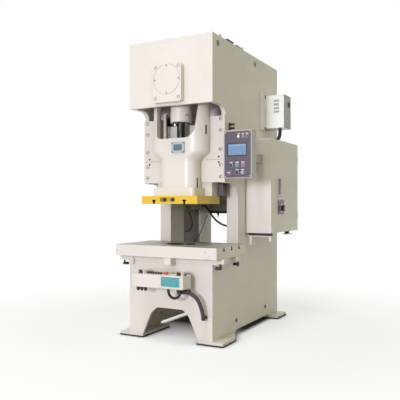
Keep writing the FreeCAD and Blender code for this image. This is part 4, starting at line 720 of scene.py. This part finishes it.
plates.append(((522, PANEL_FACE - 2 * PLATE, 1664), (556, PANEL_FACE - PLATE, 1673)))
blocks("bare_plates", plates, pale, bevel=0.3)
blocks("dark_plate", [((515, PANEL_FACE - PLATE, 1640), (571, PANEL_FACE, 1694))],
       moulded("plate_violet", VIOLET, 0.4), bevel=0.3)
screws("panel_screws", [(x, PANEL_FACE, z) for x in (504, 763) for z in (1631, 2063)], "-Y", 5.0)
blocks("panel_arm_flange", [((590, 790, 1783), (680, 797.5, 1892))], cream_fine, bevel=1.5)
hexagons("arm_bolts", [(x, 790, z) for x in (597, 673) for z in (1790, 1885)], "-Y", 8.0, 5.0)

# Console: seats of the buttons, frame and diamonds of the teal plate, screws, and what hangs
# under it
CONSOLE_TOP = 680.0
CONSOLE_MID = -157.0
CONSOLE_FRONT = -234.0
DIAMONDS = ((70, 613), (139, 613), (210, 613))
rings("palm_seats", [(x, CONSOLE_MID, CONSOLE_TOP) for x in (-215, 215)], "+Z", 31.5, 35.0, 2.0,
      black)
rings("stop_seat", [(52, CONSOLE_MID, CONSOLE_TOP)], "+Z", 12.0, 30.0, 2.4,
      moulded("yellow_ring", RING_YELLOW, 0.4))
blocks("teal_frame", border((39, -237.5, 569), (256, CONSOLE_FRONT, 674), 6, 6), cream_fine)
turned("bare_diamonds", [(x, -236, z) for x, z in DIAMONDS], "-Y",
       [(14, 0), (14, 0.8), (13.2, 1.2)], moulded("diamond_blue", DIAMOND_BLUE, 0.4), sides=4,
       smooth=20.0)
turned("diamond_centres", [(x, -237.2, z) for x, z in DIAMONDS], "-Y",
       [(8, 0), (8, 0.4), (7.4, 0.7)], pale, sides=4, smooth=20.0)
screws("console_screws", [(x, CONSOLE_FRONT, z) for x in (-272, 20, 272) for z in (568, 667)],
       "-Y", 4.5)
turned("console_connectors", [(x, -165, 556) for x in (-262, -219, -176)], "-Z",
       [(20, 0), (20, 12), (17, 13), (17, 34), (14, 35), (14, 46), (10, 48)], black, sides=24)
turned("console_stub", [(161, -150, 556)], "-Z",
       [(12, 0), (12, 8), (9, 9), (9, 44), (7.5, 46)], zinc, sides=24)
blocks("console_seams", [((-285.6, -233, 673.4), (285.6, -81, 674.4))], cream_fine, bevel=0.3)

# Cabinet door: gasket, handle and switch fittings, hinge screws
DOOR_FACE = 778
blocks("door_gasket", border((747.6, 966, 1052), (749.2, 1676, 2054), 4, 4), hose_rubber,
       bevel=0.4)
turned("handle_studs", [(DOOR_FACE, y, 1442) for y in (992, 1086)], "+X",
       [(7, 0), (7, 1.5), (5, 2.6)], dark, "door", sides=24)
rings("switch_ring", [(DOOR_FACE, 1100, 1313)], "+X", 36.0, 44.0, 2.0, zinc, "door")
screws("switch_screws", [(DOOR_FACE, y, z) for y in (1014, 1167) for z in (1257, 1394)], "+X",
       4.0, zinc, "door")
blocks("handle_plate", [((770, 1030, 1478), (770.9, 1062, 1624))], zinc, "door", 0.4)
screws("hinge_screws", [(x, 1685, z) for x in (712, 728) for z in (1196, 1214, 1856, 1874)],
       "+Y", 3.6)

# Drive box: louvre lips, lid seam, screws, and the strip beside it
LOUVRES_Z = [2556 - 42 * row - 9 * slit for row in range(4) for slit in range(3)]
blocks("louvre_lips", [((594, 1340, z + 4), (660, 1344.5, z + 5.6)) for z in LOUVRES_Z],
       box_white, bevel=0.5)
blocks("lid_seam", border((719, 1350, 2243), (719.8, 1569, 2612), 3, 3), dark, bevel=0.3)
blocks("strip_blocks", [((484, 1296, z - 20), (503, 1328, z + 20)) for z in (2228, 2600)], black,
       bevel=1.5)
screws("strip_screws", [(502, y, z) for y in (1240, 1325) for z in (2290, 2430, 2570)], "+X", 6.0)
screws("box_screws", [(x, 1344, z) for x in (500, 709) for z in (2250, 2605)], "-Y", 4.5)

# Rims of the lifting holes
for name, x, axis in (("lift_hole_rims", HALF, "+X"), ("lift_hole_rims_left", -HALF, "-X")):
    rings(name, [(x, y, 2925) for y in (118, 1059)], axis, 30.0, 33.0, 1.2, cream_fine)

# Thin shadow gaps round the sunk heads of the guide and cover screws
GIB_SCREWS = [(x, 270.0, z) for x in (-435, 435) for z in (1634, 1752, 1910, 2099, 2218)]
gap = moulded("shadow_gap", GAP_BROWN, 0.7)
rings("gib_screw_gaps", GIB_SCREWS, "-Y", 16.8, 19.6, 0.6, gap)
cover_low, cover_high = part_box("bearing_cover")
COVER_SCREWS = [(x, COVER_FACE, z) for x in (-131, 131)
                for z in (cover_low.z / MM + 45, cover_high.z / MM - 23)]
rings("cover_screw_gaps", COVER_SCREWS, "-Y", 16.8, 19.4, 0.6, gap)

# Rod head: bolts with washers round its lower rim, and set screws in its side
RIM_BOLTS = 8
RIM_BOLT_RING = 82.25
RIM_Z = 2193.5
WASHER = 1.2
bm = bmesh.new()
for i in range(RIM_BOLTS):
    turn = 2 * math.pi * (i + 0.3) / RIM_BOLTS
    x, y = RIM_BOLT_RING * math.cos(turn), RIM_BOLT_RING * math.sin(turn)
    place = at((x, ROD_Y + y, RIM_Z), "-Z")
    add_turned(bm, place, [(13.5, 0), (13.5, WASHER)], 24)
    add_turned(bm, place @ Matrix.Translation((0, 0, WASHER)), [(11, 0), (11, 3.4), (9.5, 4.4)], 6)
piece("rim_bolts", bm, dark, "rod")
bm = bmesh.new()
for degrees in (-33, -19, 150):
    turn = math.radians(degrees)
    out = Vector((math.cos(turn), math.sin(turn), 0))
    place = Matrix.Translation(Vector((0, ROD_Y, 2262)) + out * 108.2)
    add_turned(bm, place @ out.to_track_quat("Z", "Y").to_matrix().to_4x4(),
               [(7, 0), (7, 1.0), (4, 1.6)], 20)
piece("rod_set_screws", bm, dark, "rod")

# Height rod in the slide's window, with its arm and foot
turned("height_rod", [(-208, 252, 2020)], "+Z", [(17, 0), (17, 268), (13, 276), (13, 284)],
       moulded("pale_tube", PALE_TUBE, 0.25, 0.5), "slide")
blocks("height_rod_arm", [((-211, 246, 2272), (-201, 353, 2290))], cream_fine, "slide", 1.5)
turned("height_rod_foot", [(-196, 270, 2024)], "+Z", [(15, 0), (15, 16), (11, 22)], dark, "slide",
       sides=24)

# Tail of each slide guide, under the guide plates
blocks("guide_tails", [((x, 424, 1442), (x + 56, 512, 1579)) for x in (330, -386)],
       plate_steel, bevel=2.0)

# Bolster: plugs in its front, and clamp studs with their straps under its corners
FRONT_PLUGS = ((-567, 888), (-506, 872), (455, 900), (551, 904), (500, 870), (462, 846), (487, 845))
STRAPS = [(side * x, y, z) for side in (-1, 1) for x, y, z in ((535, 16, 745), (566, 352, 758))]
turned("bolster_plugs", [(x, -109, z) for x, z in FRONT_PLUGS], "-Y",
       [(4.5, 0), (4.5, 0.8), (3, 1.3)], moulded("plug_grey", PLUG_GREY, 0.5), sides=20)
turned("clamp_studs", [(x + math.copysign(20, x), y, 790) for x, y, _ in STRAPS], "-Z",
       [(9, 0), (9, 52), (7, 55)], dark, sides=24)
blocks("clamp_straps", [((x - 27, y - 22, z - 13), (x + 27, y + 22, z + 13)) for x, y, z in STRAPS],
       dark, bevel=4.0)

# Black discs in the holes low on the frame sides: painted shade that makes the holes read dark
for label, x, axis in (("right", HALF, "+X"), ("left", -HALF, "-X")):
    turned("hole_shade_discs_" + label, [(x, 551, 148), (x, 1371, 159)], axis,
           [(22, 0), (22, 2), (15, 4), (6, 4.6)], black, sides=28)

# Cabinet: rubber strips, shelves and drop tabs under it
blocks("cabinet_strip", [((506, 803, 1020), (766, 850, 1047.8)),
                         ((724, 1345, 1020), (766, 1392, 1047.8))], hose_rubber, bevel=2.0)
blocks("cabinet_shelf", [((484, 800, 1011), (772, 872, 1020)),
                         ((700, 1342, 1011), (768, 1494, 1020))],
       cream_fine, bevel=1.2)
blocks("shelf_tabs", [((522, 800, 915), (546, 806, 1012)), ((744, 800, 958), (768, 806, 1012))],
       cream_fine, bevel=1.2)
screws("tab_screws", [(534, 800, 936), (756, 800, 976)], "-Y", 6.0)

# Small screws over the side glands
screws("gland_screws", [(HALF, 376, 2179), (HALF, 402, 2176)], "+X", 4.5, dark)

# Rail and hook under the rear plate's edge
blocks("rear_rail", [((-410, 1690, 1236), (-175, 1728, 1267))], dark, bevel=3.0)
turned("rear_hook", [(-300, 1708, 1237)], "-Z", [(16, 0), (16, 12), (9, 18), (8, 40), (3, 46)],
       dark, sides=24)

# Zinc sleeve on the wiring box's pipe, and a dark taupe sheet beside it on the left side's inner
# face
rings("pipe_sleeve", [(-403.5, 1395, 837)], "+Z", 9.1, 10.4, 450, zinc)
blocks("throat_dark_sheet", [((-433.2, 902, 838), (-430.5, 1418, 1289))], taupe)

# Plug of the air line, under the console
AIR_PLUG = (208, -118, 520)
turned("air_plug", [AIR_PLUG], "+X",
       [(18, 0), (25, 4), (25, 30), (21, 32), (21, 58), (26, 62), (26, 84), (22, 90)], black)

# Rubber mats cut to the shape of the feet
MAT_LIP = 4.0
MAT_TOP = 13.0


def foot_mats():
    """The feet's own undersides, grown a little and taken down to the floor."""
    source = bmesh.new()
    source.from_mesh(frame["nodes"]["feet"].data)
    low = min(v.co.z for v in source.verts)
    bm = bmesh.new()
    made = {}
    for face in source.faces:
        if face.normal.z > -0.9 or face.calc_center_median().z > low + MM:
            continue
        for v in face.verts:
            if v.index not in made:
                made[v.index] = bm.verts.new(v.co)
        bm.faces.new([made[v.index] for v in face.verts])
    source.free()
    bmesh.ops.remove_doubles(bm, verts=bm.verts, dist=0.05 * MM)
    bmesh.ops.transform(bm, matrix=Matrix.Scale(1 / MM, 4), verts=bm.verts)
    for side in (-1, 1):
        for back in (False, True):
            corner = [v for v in bm.verts if v.co.x * side > 0 and (v.co.y > DEPTH / 2) == back]
            middle = sum((v.co for v in corner), Vector()) / len(corner)
            for v in corner:
                v.co.x += math.copysign(MAT_LIP, v.co.x - middle.x)
                v.co.y += math.copysign(MAT_LIP, v.co.y - middle.y)
                v.co.z = MAT_TOP
    grown = bmesh.ops.extrude_face_region(bm, geom=list(bm.faces))
    for item in grown["geom"]:
        if isinstance(item, bmesh.types.BMVert):
            item.co.z = 0.0
    mats = piece("foot_mats", bm, hose_rubber, smooth=30.0)
    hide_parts("levelling_pads")


foot_mats()


# ---------------------------------------------------------------- hoses

RIBS = (1, 0.5, 0, 0.5)                 # depth of one rib, at four places along it


def line_of(name, points):
    """The smooth line through a route's points, as a list of places in metres."""
    curve = bpy.data.curves.new(name + "_line", "CURVE")
    curve.dimensions = "3D"
    curve.resolution_u = 16
    spline = curve.splines.new("NURBS")
    spline.points.add(len(points) - 1)
    for knot, point in zip(spline.points, points):
        knot.co = (*[c * MM for c in point], 1.0)
    spline.order_u = 3
    spline.use_endpoint_u = True
    holder = bpy.data.objects.new(name + "_line", curve)
    mesh = bpy.data.meshes.new_from_object(holder)
    places = [v.co.copy() for v in mesh.vertices]
    bpy.data.objects.remove(holder)
    bpy.data.meshes.remove(mesh)
    bpy.data.curves.remove(curve)
    return places


def even_steps(places, step):
    """Places at even steps along a line with both ends kept, and the line's length."""
    lengths = [0.0]
    for a, b in zip(places, places[1:]):
        lengths.append(lengths[-1] + (b - a).length)
    count = max(8, round(lengths[-1] / step))
    even = []
    k = 0
    for i in range(count + 1):
        want = lengths[-1] * i / count
        while k < len(lengths) - 2 and lengths[k + 1] < want:
            k += 1
        share = (want - lengths[k]) / (lengths[k + 1] - lengths[k])
        even.append(places[k].lerp(places[k + 1], share))
    return even, lengths[-1]


def hose(name, points, radius, rib, pitch, finish=hose_rubber, sides=20, stands_for="hoses"):
    """A ribbed hose on a smooth line, from one fitting to another."""
    path, length = even_steps(line_of(name, points), pitch * MM / len(RIBS))
    sections = []
    up = None
    for i, place in enumerate(path):
        along = (path[min(i + 1, len(path) - 1)] - path[max(i - 1, 0)]).normalized()
        up = along.orthogonal() if up is None else up - along * up.dot(along)
        up.normalize()
        across = along.cross(up)
        ring = circle(radius - rib * RIBS[i % len(RIBS)], sides)
        sections.append([place / MM + up * a + across * b for a, b in ring])
    bm = bmesh.new()
    skin(bm, sections)
    made = piece(name, bm, finish, smooth=60.0)
    if stands_for:
        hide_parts(stands_for)


AIR_ROUTE = [(212, -118, 520), (256, -118, 520), (300, -114, 508), (339, -108, 486),
             (371, -100, 454), (386, -90, 415), (396, -76, 372), (402, -60, 328), (406, -54, 288)]
LOOP_ROUTE = [(77, -150, 546), (77, -150, 510), (95, -151, 474), (126, -152, 456),
              (162, -152, 456), (193, -151, 474), (211, -150, 510), (211, -150, 546)]
DRIVE_ROUTE = [(650, 1400, 2227), (652, 1400, 2177), (638, 1400, 2124), (604, 1400, 2090),
               (555, 1400, 2077), (498, 1400, 2083)]
THROAT_ROUTE = [(-373, 1400, 1336), (-336, 1400, 1335), (-306, 1411, 1306), (-284, 1436, 1260),
                (-264, 1464, 1208), (-234, 1500, 1156), (-190, 1534, 1114), (-126, 1562, 1084),
                (-44, 1584, 1071), (42, 1596, 1069), (130, 1600, 1075), (210, 1600, 1092),
                (280, 1600, 1118), (330, 1600, 1146), (374, 1600, 1162), (417, 1600, 1162)]
CABLE_A_ROUTE = [(-424, 1172, 1262), (-424, 1180, 1236), (-424, 1222, 1190), (-424, 1250, 1140),
                 (-424, 1240, 1080), (-424, 1190, 1040), (-424, 1120, 1026), (-424, 1070, 1026)]
CABLE_B_ROUTE = [(-424, 1655, 1212), (-420, 1590, 1170), (-400, 1515, 1112), (-384, 1440, 1052),
                 (-384, 1370, 990), (-400, 1310, 930), (-424, 1262, 880)]
conduit = rubber("conduit_cover", CONDUIT)
hose("air_hose", AIR_ROUTE, 20.0, 1.2, 8.0, conduit)
hose("console_loop", LOOP_ROUTE, 13.5, 0.9, 6.0)
hose("drive_hose", DRIVE_ROUTE, 21.0, 1.2, 8.0)
hose("throat_hose", THROAT_ROUTE, 12.0, 0.5, 5.0)
hose("box_cable_a", CABLE_A_ROUTE, 4.5, 0.2, 4.0, sides=12, stands_for=None)
hose("box_cable_b", CABLE_B_ROUTE, 4.5, 0.2, 4.0, sides=12, stands_for=None)
rings("hose_collars", [AIR_ROUTE[0]], "+X", 19.0, 24.0, 4.0, zinc)


# ---------------------------------------------------------------- floor, light and camera

FLOOR_SHOWN = (0.93, 0.93, 0.93)        # to rays that see it directly
FLOOR_BOUNCE = (0.50, 0.50, 0.47)       # to the light that it throws back
FLOOR_CENTRE = (0.1, 0.7)
FLOOR_NEAR = 1.7                        # from here to FLOOR_FAR the floor turns pure white
FLOOR_FAR = 3.6
NEAR_WHITE = 0.66                       # share of plain white round the press
SHADE_REACH = 0.8                       # painted soft shade round the press from its openness, and a painted contact shadow, a line where it stands
SHADE = (0.10, 0.085, 0.078)
CONTACT_REACH = 0.07
CONTACT_SHADOW = (0.03, 0.026, 0.024)
FLOOR_SAMPLES = 8
# Painted shade under the press: along each axis, how a range of places goes over from one share
# of it to another
PRESS_SHADE_AREA = (("X", -0.50, -0.44, 0.0, 1.0), ("X", 0.46, 0.54, 1.0, 0.0),
               ("Y", 0.15, 0.85, 0.0, 1.0), ("Y", 1.66, 1.76, 1.0, 0.0))
PRESS_SHADE_TONE = (0.04, 0.034, 0.031)
PRESS_SHADE_EMITTED = (0.022, 0.018, 0.016)

ROOM_TONE = (0.98, 0.98, 0.66, 1.0)
ROOM_LIGHT = 0.47
KEY_POWER = 405.0
KEY_TONE = (0.90, 0.87, 1.0)
TOP_POWER = 290.0
TOP_TONE = (1.0, 0.99, 0.99)

CAMERA_PLACE = (2.8742, -4.7609, 1.3706)
CAMERA_TURN = 28.0
CAMERA_LENS = 50.26
CAMERA_SHIFT = 0.00725


def seen_directly(tree):
    """1 for rays that show a surface as it is: from the camera, a mirror or glass."""
    path = tree.nodes.new("ShaderNodeLightPath")
    total = path.outputs["Is Camera Ray"]
    for name in ("Is Glossy Ray", "Is Transmission Ray"):
        add = tree.nodes.new("ShaderNodeMath")
        add.operation = "MAXIMUM"
        tree.links.new(total, add.inputs[0])
        tree.links.new(path.outputs[name], add.inputs[1])
        total = add.outputs[0]
    return total


def floor():
    """A pale floor that keeps the lamps' shadow, with painted shade round and under the press, and
    turns pure white a few steps from the press.
    """
    bm = bmesh.new()
    bmesh.ops.create_grid(bm, x_segments=1, y_segments=1, size=60.0)
    mesh = bpy.data.meshes.new("floor")
    bm.to_mesh(mesh)
    bm.free()
    made = bpy.data.objects.new("floor", mesh)
    bpy.context.scene.collection.objects.link(made)
    n = Nodes("pale_floor")
    shown = seen_directly(n.tree)
    # painted shade under the press, by place, for rays that see the floor directly
    under = 1.0
    for name, low, high, to_low, to_high in PRESS_SHADE_AREA:
        under = n.times(n.span(n.axis(name), low, high, to_low, to_high), under)
    under = n.times(under, shown)
    tone = n.mix(under, n.mix(shown, FLOOR_BOUNCE, FLOOR_SHOWN), PRESS_SHADE_TONE)
    n.finish(tone, 0.8, n.bump(n.noise(40.0), 0.02, 0.001), specular=0.1)
    away = n.math("ADD", n.squared("X", FLOOR_CENTRE[0]), n.squared("Y", FLOOR_CENTRE[1]))
    away = n.math("SQRT", away)
    far = n.times(n.span(away, FLOOR_NEAR, FLOOR_FAR, NEAR_WHITE, 1.0), shown)
    # painted soft shade round the press from its openness, and a painted contact shadow where it
    # stands
    lit = n.span(n.openness(SHADE_REACH, FLOOR_SAMPLES), 0.10, 0.62)
    lit = n.mix(lit, SHADE, (1.0, 1.0, 1.0))
    touching = n.span(n.openness(CONTACT_REACH, FLOOR_SAMPLES), 0.55, 0.95)
    lit = n.mix(touching, CONTACT_SHADOW, lit)
    plain = n.add("ShaderNodeEmission")
    n.link(n.mix(under, lit, PRESS_SHADE_EMITTED), plain.inputs["Color"])
    blend = n.add("ShaderNodeMixShader")
    n.link(far, blend.inputs["Fac"])
    n.link(n.shader.outputs["BSDF"], blend.inputs[1])
    n.link(plain.outputs[0], blend.inputs[2])
    n.link(blend.outputs[0], n.out.inputs["Surface"])
    mesh.materials.append(n.material)


def lamp(name, place, aim, size, power, colour):
    """A round studio lamp that looks at a point."""
    data = bpy.data.lights.new(name, "AREA")
    data.shape = "DISK"
    data.size = size
    data.energy = power
    data.color = colour
    made = bpy.data.objects.new(name, data)
    made.location = place
    made.rotation_euler = (Vector(aim) - Vector(place)).to_track_quat("-Z", "Y").to_euler()
    bpy.context.scene.collection.objects.link(made)


def world():
    """White to the camera, and an even pale room to everything else."""
    made = bpy.data.worlds.new("studio")
    bpy.context.scene.world = made
    made.use_nodes = True
    tree = made.node_tree
    tree.nodes.clear()
    out = tree.nodes.new("ShaderNodeOutputWorld")
    seen = tree.nodes.new("ShaderNodeBackground")
    seen.inputs["Color"].default_value = (1.0, 1.0, 1.0, 1.0)
    room = tree.nodes.new("ShaderNodeBackground")
    room.inputs["Color"].default_value = ROOM_TONE
    room.inputs["Strength"].default_value = ROOM_LIGHT
    choose = tree.nodes.new("ShaderNodeMixShader")
    tree.links.new(seen_directly(tree), choose.inputs["Fac"])
    tree.links.new(room.outputs[0], choose.inputs[1])
    tree.links.new(seen.outputs[0], choose.inputs[2])
    tree.links.new(choose.outputs[0], out.inputs["Surface"])


def camera():
    """The photograph's own viewpoint."""
    data = bpy.data.cameras.new("camera")
    data.lens = CAMERA_LENS
    data.sensor_width = 36.0
    data.shift_y = CAMERA_SHIFT
    data.clip_end = 200.0
    made = bpy.data.objects.new("camera", data)
    made.location = CAMERA_PLACE
    made.rotation_euler = (math.radians(90.0), 0.0, math.radians(CAMERA_TURN))
    bpy.context.scene.collection.objects.link(made)
    bpy.context.scene.camera = made


floor()
world()
lamp("key", (0.2, -8.5, 2.2), (0.1, 0.4, 1.5), 2.0, KEY_POWER, KEY_TONE)
lamp("top", (0.2, -2.6, 9.5), (0.1, 0.4, 0.6), 2.4, TOP_POWER, TOP_TONE)
camera()
bpy.context.scene.view_settings.view_transform = "Standard"
